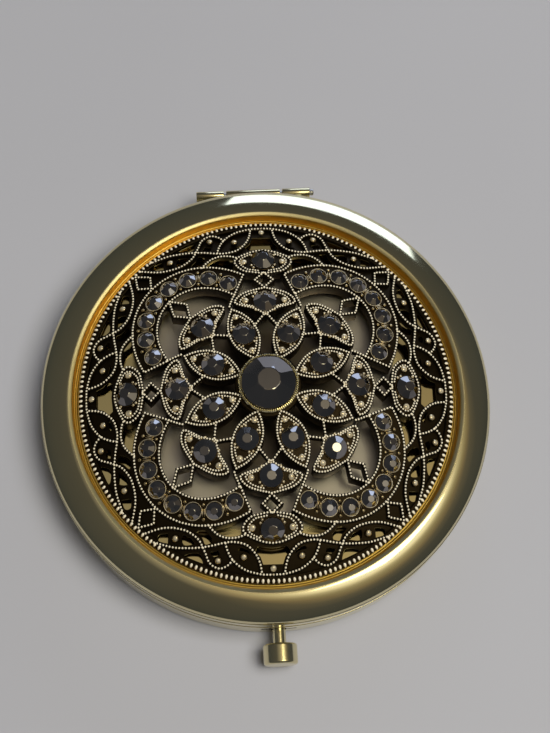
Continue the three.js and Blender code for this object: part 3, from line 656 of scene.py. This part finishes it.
def smooth(points, step=0.35):
    """More places on a smooth line through the given ones."""
    p = np.asarray(points, float)
    p = np.vstack((p[0] * 2 - p[1], p, p[-1] * 2 - p[-2]))
    line = [p[1]]
    for a, b, c, d in zip(p, p[1:], p[2:], p[3:]):
        count = max(1, round(np.linalg.norm(c - b) / step))
        for t in np.arange(1, count + 1) / count:
            line.append(0.5 * (2 * b + (c - a) * t + (2 * a - 5 * b + 4 * c - d) * t ** 2
                               + (3 * b - 3 * c + d - a) * t ** 3))
    return np.array(line)


def mirrored(points):
    return np.asarray(points, float) * (1, -1)


def leaf(half, degrees):
    """A closed outline from the places on one side of its axis."""
    one, other = smooth(half), smooth(mirrored(half))
    return turn(np.vstack((one, other[::-1][1:-1])), degrees)


inner_reach, outer_reach, cusp_reach, half_step = 8.92, 13.79, 21.5, 22.5
inner_petal = [(4.6, 0), (4.9, 0.4), (5.65, 1.0), (6.3, 1.4), (7, 1.77), (7.9, 2.03), (8.9, 2.13),
               (10.15, 2.03), (11.3, 1.65), (12.5, 0.97), (13.6, 0)]
outer_petal = [(16.3, 0), (15.95, 1.53), (15.77, 2.19), (15.56, 2.83), (15.25, 3.5), (14.8, 4.06),
               (14.26, 4.5), (13.65, 4.6), (13.1, 3.2), (12.8, 2.05), (12.3, 1.1), (11.6, 0)]
cusp = [(23.4, 0), (23.3, 1), (23.0, 2), (22.6, 3), (22.1, 3.9), (21.5, 4.4), (21.0, 4.4),
        (20.2, 3.9), (19.5, 3.0), (19.3, 2), (19.1, 1), (19.05, 0)]
arch = [(0, 27.85), (1.5, 27.8), (2.7, 27.56), (3.9, 27.2), (4.9, 26.64), (5.8, 25.9),
        (6.44, 25.06), (6.9, 24.0), (7.1, 23.2)]
wave = [(1.76, 27.4), (1.94, 26.4), (2.3, 25.4), (2.96, 24.44), (3.9, 23.6), (5, 23.2),
        (6.2, 23.04), (7.44, 23.14), (9.2, 23.44), (11.2, 23.6), (13, 23.54), (14.8, 23.34),
        (16.5, 22.84), (17.8, 22.4)]
scroll = [(6.1, 25.6), (6.7, 26.24), (7.6, 26.66), (8.1, 26.7), (8.9, 26.4), (9.66, 25.66),
          (10, 24.74), (10.44, 23.7), (10.96, 22.64), (11.8, 21.8), (12.8, 21.14), (13.94, 20.74),
          (15.14, 20.5), (16.4, 20.46), (17.54, 20.64), (18.66, 20.9), (19.5, 21.1)]
hood = [(4.2, 22.1), (4.8, 22.34), (5.8, 22.5), (6.9, 22.44), (8, 22.04), (8.9, 21.3), (9.6, 20.5)]
tail = [(5.5, 13.1), (5.4, 13.5), (4.7, 15.2)]
eighths = [45 * k for k in range(8)]
quarters = [0, 90, 180, 270]
lobe_middle, lobe_row, lobe_pitch = 14.14, 8.6, 21.7


def lobe_line(radius, flare, reach, degrees, steps=90):
    """An arc about a lobe's middle, that opens a little towards its ends."""
    way = np.linspace(-1, 1, steps + 1)
    angle = np.radians(way * reach)
    r = radius * (1 + flare * way ** 4)
    return turn(np.column_stack((lobe_middle + r * np.cos(angle), r * np.sin(angle))), degrees)


def lobe(degrees):
    outer, inner = lobe_line(10.5, 0.057, 82.7, degrees), lobe_line(6.7, 0.1, 91, degrees)
    return np.vstack((outer, inner[::-1]))


plates = {"inner": [leaf(inner_petal, a + half_step) for a in eighths],
          "outer": [leaf(outer_petal, a) for a in eighths],
          "cusps": [leaf(cusp, a) for a in quarters],
          "lobes": [lobe(a + 45) for a in quarters]}
closed_lines = [line for family in plates.values() for line in family]
open_lines = []


def both(points, degrees):
    """A line given as (across, along) and its mirror image, at one quarter of the ornament."""
    half = smooth(np.asarray(points, float)[:, ::-1])
    return [turn(half, degrees), turn(mirrored(half), degrees)]


lozenges = ((0, (19.1, 17.8, 16.4)), (45, (20.9, 18.5, 16.4)), (45, (28.4, 26.5, 24.9)))
for a in quarters:
    for shift, (outer, wide, inner) in lozenges:
        closed_lines.append(turn([(outer, 0), (wide, 1.4), (inner, 0), (wide, -1.4)], a + shift))
    for points in (arch, wave, scroll, hood, tail):
        open_lines += both(points, a)
for a in eighths:
    open_lines += both([(0, 11.9), (1.8, 9.6)], a)
print(len(closed_lines), "closed lines,", len(open_lines), "open lines")

# %% [markdown]
# Behind the border lines lies a sunk, dark web that carries the round shots. It is painted shade:
# a dark sheet put where the open cells of the border lie deep in shadow. It is pierced by small
# windows, through which the gold of the lid gleams.

# %% Painted shade web behind the border
web_radius = 28.2
web_edge = [(0, 23.2), (2, 22.9), (3.5, 22.3), (4.2, 22.1), (5.8, 22.5), (6.9, 22.44), (8, 22.04),
            (8.9, 21.3), (9.6, 20.5), (11, 20.4), (12.6, 20.1), (14.2, 19.6), (15.8, 18.8),
            (17.3, 17.3)]
axis_window = [(26.3, 1.5), (26.3, -1.5), (25.2, -1.9), (24.3, -2.7), (23.7, -2.2), (23.9, 0),
               (23.7, 2.2), (24.3, 2.7), (25.2, 1.9)]
windows = [
    [(10.4, 25.8), (11.6, 25.3), (13.2, 24.5), (12.4, 24.15), (11.1, 24.2), (10.6, 24.8)],
    [(9.1, 22.9), (10.1, 23.1), (10.5, 22.2), (11.3, 21.3), (10.4, 20.95), (9.7, 21.3),
     (9.1, 22.1)],
    [(11.5, 22.95), (13.3, 22.95), (13.5, 21.5), (12.2, 22.0)],
    [(15.7, 22.6), (17.1, 22.1), (17.0, 21.2), (15.6, 21.1)],
    [(3.1, 25.0), (4.0, 24.45), (5.2, 24.1), (4.9, 23.75), (3.7, 24.15)],
    [(7.9, 24.7), (8.9, 24.9), (9.4, 24.2), (8.2, 24.0)],
]
edge_places = []
for a in quarters:
    one, other = both(web_edge, a)
    edge_places += [other[::-1], one[1:-1]]
circle = np.array([(web_radius * math.cos(t), web_radius * math.sin(t))
                   for t in (math.tau * k / 180 for k in range(180))])
shade_web_lines = [circle, np.vstack(edge_places)]
for a in quarters:
    shade_web_lines.append(turn(axis_window, a))
    for window in windows:
        shade_web_lines += both(window, a)

# %% [markdown]
# ## Walls and plates
# A curve with an extrusion and a small round bevel is a wall with a soft top edge. A closed
# curve that is filled is a plate. Both are turned into meshes and kept flat for now. The walls
# of the petals and lobes go deep, as the dark sides below the beads show. A plate is cut into
# small squares, because a large face wouldn't follow the dome.

# %% Curves to metal
def drawn(name, lines, cyclic, bottom, top, edge, filled=False):
    """Flat curves given a height, and a thickness of twice the edge round, and made a mesh."""
    deselect()
    bpy.ops.object.add(type="CURVE")
    piece = bpy.context.object
    piece.name = name
    piece.data.dimensions = "2D"
    piece.data.fill_mode = "BOTH" if filled else "NONE"
    piece.data.extrude = ((top - bottom) / 2 - edge) * mm
    piece.data.bevel_depth = edge * mm
    piece.data.bevel_resolution = 0
    piece.data.use_fill_caps = True
    for line in lines:
        spline = piece.data.splines.new("POLY")
        spline.points.add(len(line) - 1)
        spline.use_cyclic_u = cyclic
        for point, (x, y) in zip(spline.points, line):
            point.co = (x * mm, y * mm, 0, 1)
    piece.location.z = (bottom + top) / 2 * mm
    bpy.ops.object.convert(target="MESH")
    bpy.ops.object.transform_apply(location=True, rotation=False, scale=False)
    return bpy.context.object


deep_foot, under, deck_top, wall_top = -2.2, -0.5, 0.8, 1.0
walls = [drawn("walls_closed", closed_lines, True, deep_foot, wall_top, 0.25),
         drawn("walls_open", open_lines, False, under, wall_top, 0.24)]
decks = [drawn("deck_" + name, lines, True, under + 0.1, deck_top, 0.02, filled=True)
         for name, lines in plates.items()]
# The web is a dark sheet of painted shade in the deep border cells.
decks.append(drawn("shade_web", shade_web_lines, True, -0.1, 0.35, 0.02, filled=True))
square, cuts = 1.6, range(-17, 18)
for deck in decks:
    edit(deck)
    for k in cuts:
        for normal in ((1, 0, 0), (0, 1, 0)):
            bpy.ops.mesh.select_all(action="SELECT")
            bpy.ops.mesh.bisect(plane_co=Vector(normal) * square * k * mm, plane_no=normal,
                                threshold=on_plane)
hub = turned("hub", [(0, under), (5.1, under), (5.1, 0.7), (4.9, 0.9), (0, 0.9)], steps=64)
ring = turned("ring", [(28, -0.12), (29, -0.12), (29.06, 0), (29.06, 0.7), (28.95, 0.85),
                       (28.1, 0.85), (28, 0.75), (28, -0.12)], steps=240)

# %% [markdown]
# ## Beads and shots
# Each wall carries a row of tiny beads, which a jeweller rolls on with a knurled wheel. One
# bead is modelled, and its mesh is copied to even places along the lines. Thousands of copies
# by hand would take Blender minutes, so the copying is done on the lists of points.

# %% Model one bead and strew it
def bead_mesh(segments, rings):
    """The upper half of a small ball of radius 1, open below where it meets the metal."""
    deselect()
    bpy.ops.mesh.primitive_uv_sphere_add(segments=segments, ring_count=rings, radius=1)
    ball = bpy.context.object
    edit(ball)
    bpy.ops.mesh.bisect(plane_co=(0, 0, -0.25), plane_no=(0, 0, 1), clear_inner=True)
    bpy.ops.object.mode_set(mode="OBJECT")
    points = np.array([v.co for v in ball.data.vertices])
    faces = [list(f.vertices) for f in ball.data.polygons]
    bpy.data.objects.remove(ball)
    return points, faces


def strewn(name, template, places):
    """Copies of a template; a place is (x, y, z, radius along, radius across, height, angle)."""
    points, faces = template
    all_points, all_faces = [], []
    for k, (x, y, z, along, across, tall, angle) in enumerate(places):
        flat = turn(points[:, :2] * (along, across), angle) + (x, y)
        all_points.append(np.column_stack((flat, z + points[:, 2] * tall)))
        all_faces += [[v + k * len(points) for v in face] for face in faces]
    mesh = bpy.data.meshes.new(name)
    mesh.from_pydata(np.vstack(all_points) * mm, [], all_faces)
    piece = bpy.data.objects.new(name, mesh)
    bpy.context.scene.collection.objects.link(piece)
    smooth_by(piece, 80)
    print(name, len(places), "copies,", len(mesh.polygons), "faces")
    return piece


def spaced(line, pitch, closed):
    """Even places along a line, about a pitch apart."""
    line = np.vstack((line, line[:1])) if closed else np.asarray(line)
    reach = np.concatenate(([0], np.cumsum(np.linalg.norm(np.diff(line, axis=0), axis=1))))
    count = max(1, round(reach[-1] / pitch))
    way = np.linspace(0, reach[-1], count + 1)[:-1 if closed else None]
    return np.column_stack((np.interp(way, reach, line[:, 0]), np.interp(way, reach, line[:, 1])))


# %% Rows of beads
bead_radius, bead_height = 0.175, 0.22
fine_pitch, coarse_pitch = 0.43, 0.49
bead_places = []
fine_lines = plates["inner"] + plates["outer"]
coarse_lines = closed_lines[len(fine_lines):]
for lines, closed, pitch in ((fine_lines, True, fine_pitch), (coarse_lines, True, coarse_pitch),
                             (open_lines, False, coarse_pitch)):
    for line in lines:
        for x, y in spaced(line, pitch, closed):
            bead_places.append((x, y, wall_top + 0.02, bead_radius, bead_radius, bead_height, 0))

# A second row lies inside each petal's wall and gives way to the stone.
stone_clearance, inset_pitch, inset_bead, inset_height = 2.12, 0.42, 0.17, 0.24
for family, reach, step, first, drawn_in in (("inner", inner_reach, 45, half_step, 0.80),
                                             ("outer", outer_reach, 45, 0, 0.83),
                                             ("cusps", cusp_reach, 90, 0, 0.83)):
    for k, line in enumerate(plates[family]):
        middle = at(reach, 0, step * k + first)
        inset = middle + (line - middle) * drawn_in
        for x, y in spaced(inset, inset_pitch, True):
            if math.hypot(x - middle[0], y - middle[1]) > stone_clearance:
                bead_places.append((x, y, deck_top + 0.13, inset_bead, inset_bead,
                                    inset_height, 0))
beads = strewn("milgrain", bead_mesh(8, 6), bead_places)


def bead_ring(radius, count, foot, size):
    """Even places round the axis; each bead's first radius points outwards."""
    return [(radius * math.cos(t), radius * math.sin(t), foot, *size, math.degrees(t))
            for t in (math.tau * k / count for k in range(count))]


ring_beads = strewn("ring_beads", bead_mesh(10, 8),
                    bead_ring(28.72, 228, 0.85, (0.36, 0.25, 0.32)))

# %% Shots
grain, petal_shot, side_shot, lobe_bar = 0.25, 0.56, 0.58, (0.8, 0.12, 0.3)
shot_places = []


def on_lobe(radius, angle, degrees):
    """A flat place about a lobe's middle, at an angle from the lobe's axis."""
    t = math.radians(angle)
    return at(lobe_middle + radius * math.cos(t), radius * math.sin(t), degrees)


def shot(place, foot, radius):
    shot_places.append((*place, foot, radius, radius, radius * 0.9, 0))


for a in eighths:
    for u in (12.07, 6.0):
        shot(at(u, 0, a + half_step), deck_top + 0.05, petal_shot)
    for v in (3, -3):
        shot(at(14.04, v, a), deck_top + 0.05, side_shot)
    for u, v in ((1.78, 0.95), (1.45, 1.45)):
        for across in (v, -v):
            for along in (u, -u * 0.97):
                shot(at(inner_reach + along, across, a + half_step), deck_top + 0.2, grain)
                shot(at(outer_reach + across, along * 1.02, a), deck_top + 0.2, grain)
for a in quarters:
    for v in (3, -3):
        shot(at(21.2, v, a), deck_top + 0.05, side_shot)
        for u, across in ((0.95, 1.8), (-0.95, 1.8), (-1.4, 1.5)):
            shot(at(cusp_reach + u, math.copysign(across, v), a), deck_top + 0.2, grain)
    shot(at(27.0, 0, a), wall_top, 0.5)
    for v, u in ((4.36, 25.25), (8.25, 25.6), (14.56, 22.1)):
        shot(at(u, v, a), wall_top - 0.2, petal_shot)
        shot(at(u, -v, a), wall_top - 0.2, petal_shot)
    for k in range(-3, 4):
        for r in (7.55, 9.65):
            shot(on_lobe(r, k * lobe_pitch, a + 45), deck_top + 0.1, 0.3)
        for apart in (-0.95, 0.95):
            shot_places.append((*on_lobe(lobe_row, k * lobe_pitch + apart, a + 45),
                                deck_top + 0.1, *lobe_bar, k * lobe_pitch + a + 45))
shots = strewn("shots", bead_mesh(12, 8), shot_places)

# %% [markdown]
# Every stone is held in a collar. It is one short ring, modelled once and copied like the
# beads; on the petals it is black, and round the small stones of the lobes its edge is rubbed
# to bright gold and given a painted highlight.

# %% Collars
ring_blank = turned("collar", [(0.93, 0), (1.0, 0), (1.0, 0.86), (0.97, 1), (0.95, 1),
                               (0.93, 0.9), (0.93, 0)], steps=28)
collar = (np.array([v.co for v in ring_blank.data.vertices]) / mm,
          [list(f.vertices) for f in ring_blank.data.polygons])
bpy.data.objects.remove(ring_blank)
collar_foot, collar_height = 0.7, 0.42
petal_collar, cusp_collar, lobe_collar = 1.9, 1.93, 1.38
large_places, small_places = [], []


def collared(places, place, radius):
    places.append((*place, collar_foot, radius, radius, collar_height, 0))


for a in eighths:
    collared(large_places, at(inner_reach, 0, a + half_step), petal_collar)
    collared(large_places, at(outer_reach, 0, a), petal_collar)
for a in quarters:
    collared(large_places, at(cusp_reach, 0, a), cusp_collar)
    for k in range(-4, 4):
        collared(small_places, on_lobe(lobe_row, (k + 0.5) * lobe_pitch, a + 45), lobe_collar)
collars = strewn("collars", collar, large_places)
bezels = strewn("bezels", collar, small_places)

# %% [markdown]
# ## Bend the dome
# Every point rises by seven millimetres in the middle and by nothing at the ring. Near the ring
# the deep walls are stopped short of the lid's floor. The flat height is kept as an attribute,
# because the colour follows it: dark patina in the depths, rubbed bright on top, and on beads,
# shots and small collars a painted highlight.

# %% Doming
dome_rise, ornament_turn, ring_outside = 7.0, -1.35, 29.03
lowest = casting_bottom - 0.1


def domed(piece, foot, height, least, most):
    """Bends a flat piece; its tone goes from least at its foot to most at its top, where a high
    value paints a highlight on the patina.
    """
    mesh = piece.data
    points = np.empty(len(mesh.vertices) * 3)
    mesh.vertices.foreach_get("co", points)
    points = points.reshape(-1, 3) / mm
    radius = np.linalg.norm(points[:, :2], axis=1)
    share = np.clip((points[:, 2] - foot) / height, 0, 1)
    share[radius > ring_outside] = 1
    patina_and_highlight_share = mesh.attributes.new("patina_and_highlight_share", "FLOAT", "POINT")
    patina_and_highlight_share.data.foreach_set("value", (least + (most - least) * share).astype(np.float32))
    points[:, 2] += casting_bottom + dome_rise * (1 - (radius / casting_radius) ** 2)
    points[:, 2] = np.maximum(points[:, 2], lowest)
    points[:, :2] = turn(points[:, :2], ornament_turn)
    mesh.vertices.foreach_set("co", (points * mm).ravel())
    mesh.update()


for piece in walls:
    domed(piece, 0.3, 0.45, 0.34, 0.1)
for piece in (*decks, hub):
    domed(piece, 0, 0.5, 0.2, 0.05)
domed(ring, 0, 0.5, 0.35, 0.15)
casting = joined("filigree_casting", [*walls, *decks, hub, ring])
print("casting", len(casting.data.polygons), "faces")
# Beads, shots and the lobes' collars end in light tops, a painted highlight on the patina.
domed(beads, 0.9, 0.2, 0.1, 1.0)
domed(ring_beads, 0.9, 0.2, 0.3, 1.0)
domed(shots, 0.92, 0.3, 0.3, 0.72)
domed(collars, 0.9, 0.22, 0.1, 0.35)
domed(bezels, 0.85, 0.25, 0.3, 0.72)
for piece in (casting, beads, ring_beads, shots, collars, bezels):
    dress(piece, "lid", "antique_brass", brass, "filigree_medallion")
smooth_by(casting, 35)

# %% [markdown]
# ## Stones
# The stones are opaque, dark and mirror bright, cut with a flat table, eight facets and eight
# small ones at the table's corners. A lapidary grinds one plane after another, and we do the
# same: a round blank is bisected by sixteen leaning planes.

# %% Cut a stone
star_lean, star_edge = 0.66, 1.01


def cut_stone(radius, height, girdle, table):
    deselect()
    bpy.ops.mesh.primitive_cylinder_add(vertices=48, radius=radius * mm, depth=height * mm,
                                        location=(0, 0, height / 2 * mm))
    blank = bpy.context.object
    bpy.ops.object.transform_apply()
    edit(blank)
    steep = math.atan2(height - girdle, radius * 0.96 - table)
    facets = [(math.tau * k / 8, steep, table) for k in range(8)]
    facets += [(math.tau * k / 8 + math.tau / 16, steep * star_lean, table * star_edge)
               for k in range(8, 16)]
    for a, lean, edge in facets:
        bpy.ops.mesh.select_all(action="SELECT")
        bpy.ops.mesh.bisect(
            plane_co=(edge * math.cos(a) * mm, edge * math.sin(a) * mm, height * mm),
            plane_no=(math.cos(a) * math.sin(lean), math.sin(a) * math.sin(lean), math.cos(lean)),
            use_fill=True, clear_outer=True, threshold=on_plane)
    bpy.ops.object.mode_set(mode="OBJECT")
    bevelled(blank, radius * 0.018, 1, 14)
    bpy.ops.object.shade_flat()
    return blank


# %% Set the stones
def seat_matrix(u, v, degrees, foot, spin, tilt):
    """Where a stone sits: on the dome at a flat place, leaning with the surface."""
    x, y = at(u, v, degrees + ornament_turn)
    slope = 2 * dome_rise / casting_radius ** 2
    normal = Vector((slope * x + tilt[0], slope * y + tilt[1], 1)).normalized()
    height = casting_bottom + foot + dome_rise * (1 - (x * x + y * y) / casting_radius ** 2)
    lean = Vector((0, 0, 1)).rotation_difference(normal).to_matrix().to_4x4()
    return (Matrix.Translation(Vector((x, y, height)) * mm) @ lean
            @ Matrix.Rotation(math.radians(degrees + ornament_turn + spin), 4, "Z"))


def seated(name, blank, matrix):
    """A copy of a blank in its seat."""
    piece = blank.copy()
    piece.data = blank.data.copy()
    piece.data.transform(matrix)
    piece.name = name
    bpy.context.scene.collection.objects.link(piece)
    return piece


def set_stone(family, number, blank, *seat):
    piece = seated("%s_fine_%d" % (family, number), blank, seat_matrix(*seat))
    dress(piece, "lid", "stone", stone, "%s_%d" % (family, number))


chance = np.random.default_rng(7)
petal_foot, lobe_foot = 1.0, 0.9
petal_blank = cut_stone(1.78, 1.08, 0.26, 0.7)
cusp_blank = cut_stone(1.8, 1.1, 0.26, 0.72)
lobe_blank = cut_stone(1.28, 0.76, 0.17, 0.5)
centre_blank = cut_stone(4.14, 2.35, 0.45, 1.7)
for k, a in enumerate(eighths):
    lean = chance.uniform(-0.06, 0.06, 4)
    set_stone("inner_petal_stone", k + 1, petal_blank,
              inner_reach, 0, a + half_step, petal_foot, half_step, lean[:2])
    set_stone("outer_petal_stone", k + 1, petal_blank,
              outer_reach, 0, a, petal_foot, half_step, lean[2:])
for k, a in enumerate(quarters):
    set_stone("cusp_stone", k + 1, cusp_blank,
              cusp_reach, 0, a, petal_foot, half_step, chance.uniform(-0.05, 0.05, 2))
lobe_stones = []
for a in quarters:
    for k in range(-4, 4):
        angle = (k + 0.5) * lobe_pitch
        u, v = on_lobe(lobe_row, angle, 0)
        matrix = seat_matrix(u, v, a + 45, lobe_foot, angle, chance.uniform(-0.06, 0.06, 2))
        lobe_stones.append(seated("lobe_stone", lobe_blank, matrix))
lobes = joined("lobe_stones", lobe_stones)
dress(lobes, "lid", "stone", stone, "filigree_medallion")
centre = seated("centre_stone_fine", centre_blank,
                Matrix.Translation((0, 0, low("centre_stone").z * mm)))
dress(centre, "lid", "stone", stone, "centre_stone")
for blank in (petal_blank, cusp_blank, lobe_blank, centre_blank):
    bpy.data.objects.remove(blank)

# %% Setting of the large stone
setting_bottom = low("centre_setting").z
bezel = turned("centre_setting_fine", [
    (0, 0), (4.55, 0), (4.6, 0.1), (4.6, 0.55), (4.5, 0.7), (4.26, 0.75), (4.2, 0.7), (4.18, 0.3),
    (0, 0.3),
], steps=96)
setting_beads = strewn("setting_beads", bead_mesh(10, 8),
                       bead_ring(4.4, 84, 0.68, (0.19, 0.155, 0.22)))
setting = joined("centre_setting_fine", [bezel, setting_beads])
setting.data.transform(Matrix.Translation((0, 0, setting_bottom * mm)))
dress(setting, "lid", "polished_gold", gold, "centre_setting")

# %% [markdown]
# ## Stage and light
# The case lies on a plain pale table. A broad soft window stands low behind it, which draws the
# bright band along the upper rim. A lamp overhead gives the warm highlights, and a larger panel
# round it, which metal doesn't reflect, lights the table.

# %% Table
deselect()
bpy.ops.mesh.primitive_plane_add(size=3, location=(0, 0, -0.02 * mm))
table = bpy.context.object
table.name = "table"
table.data.materials.append(plain_finish(
    "table", 8, 3, ((0.3, (0.425, 0.42, 0.425)), (0.7, (0.45, 0.445, 0.45))), 0.5, metallic=0))

# %% [markdown]
# Polished metal shows what is round it, so the room matters more than the lamps. It is dim at
# the sides, lighter overhead, and has a warm glow round the lamp. The camera itself sees plain
# grey past the table.

# %% Room
world = bpy.data.worlds.new("room")
bpy.context.scene.world = world
world.use_nodes = True
nodes, links = world.node_tree.nodes, world.node_tree.links
where = nodes.new("ShaderNodeTexCoord")
split = nodes.new("ShaderNodeSeparateXYZ")
links.new(where.outputs["Generated"], split.inputs["Vector"])
sky = ramp(nodes, links, split.outputs["Z"], (0.0, (0.048, 0.053, 0.060)),
           (0.3, (0.060, 0.064, 0.068)), (0.7, (0.076, 0.076, 0.076)), (0.9, (0.088, 0.085, 0.08)),
           (0.95, (0.19, 0.175, 0.15)), (1.0, (0.27, 0.25, 0.21)))
glow_side, lamp_side = (0.35, -0.075, 0.934), (0.322, -0.045, 0.946)
near_lamp = nodes.new("ShaderNodeVectorMath")
near_lamp.operation = "DOT_PRODUCT"
links.new(where.outputs["Generated"], near_lamp.inputs[0])
near_lamp.inputs[1].default_value = to_case @ Vector(glow_side).normalized()
glow = ramp(nodes, links, near_lamp.outputs["Value"], (0.80, (0.0, 0.0, 0.0)),
            (0.88, (0.04, 0.03, 0.015)), (0.915, (0.14, 0.10, 0.045)), (0.94, (0.24, 0.20, 0.11)),
            (0.96, (0.44, 0.39, 0.27)), (0.977, (0.95, 0.87, 0.68)), (0.99, (1.0, 1.0, 0.9)))
both_lights = nodes.new("ShaderNodeMix")
both_lights.data_type = "RGBA"
both_lights.blend_type = "ADD"
both_lights.inputs["Factor"].default_value = 1
links.new(sky, both_lights.inputs["A"])
links.new(glow, both_lights.inputs["B"])
sight = nodes.new("ShaderNodeLightPath")
backdrop = blend(nodes, links, sight.outputs["Is Camera Ray"], both_lights.outputs["Result"],
                 (0.42, 0.41, 0.41))
links.new(backdrop, nodes["Background"].inputs["Color"])


# %% Lamps
lamp_distance = 900


def lamp(name, direction, size, power, colour):
    """A soft panel that faces the case, in a direction turned with the case."""
    towards = to_case @ Vector(direction).normalized()
    deselect()
    bpy.ops.object.light_add(type="AREA", location=towards * lamp_distance * mm)
    light = bpy.context.object
    light.name = name
    light.data.shape = "RECTANGLE"
    light.data.size, light.data.size_y = size[0] * mm, size[1] * mm
    light.data.energy = power
    light.data.color = colour
    light.rotation_euler = towards.to_track_quat("Z", "Y").to_euler()
    return light


window_side = (0.12, 0.969, 0.216)
lamp("window", window_side, (640, 385), 1.85, (0.60, 0.73, 1))
lamp("ceiling_lamp", lamp_side, (270, 270), 0.85, (1, 0.9, 0.5))
fill = lamp("soft_fill", lamp_side, (500, 500), 6.7, (0.90, 0.915, 1))
fill.visible_glossy = False

bpy.context.scene.view_settings.view_transform = "Standard"
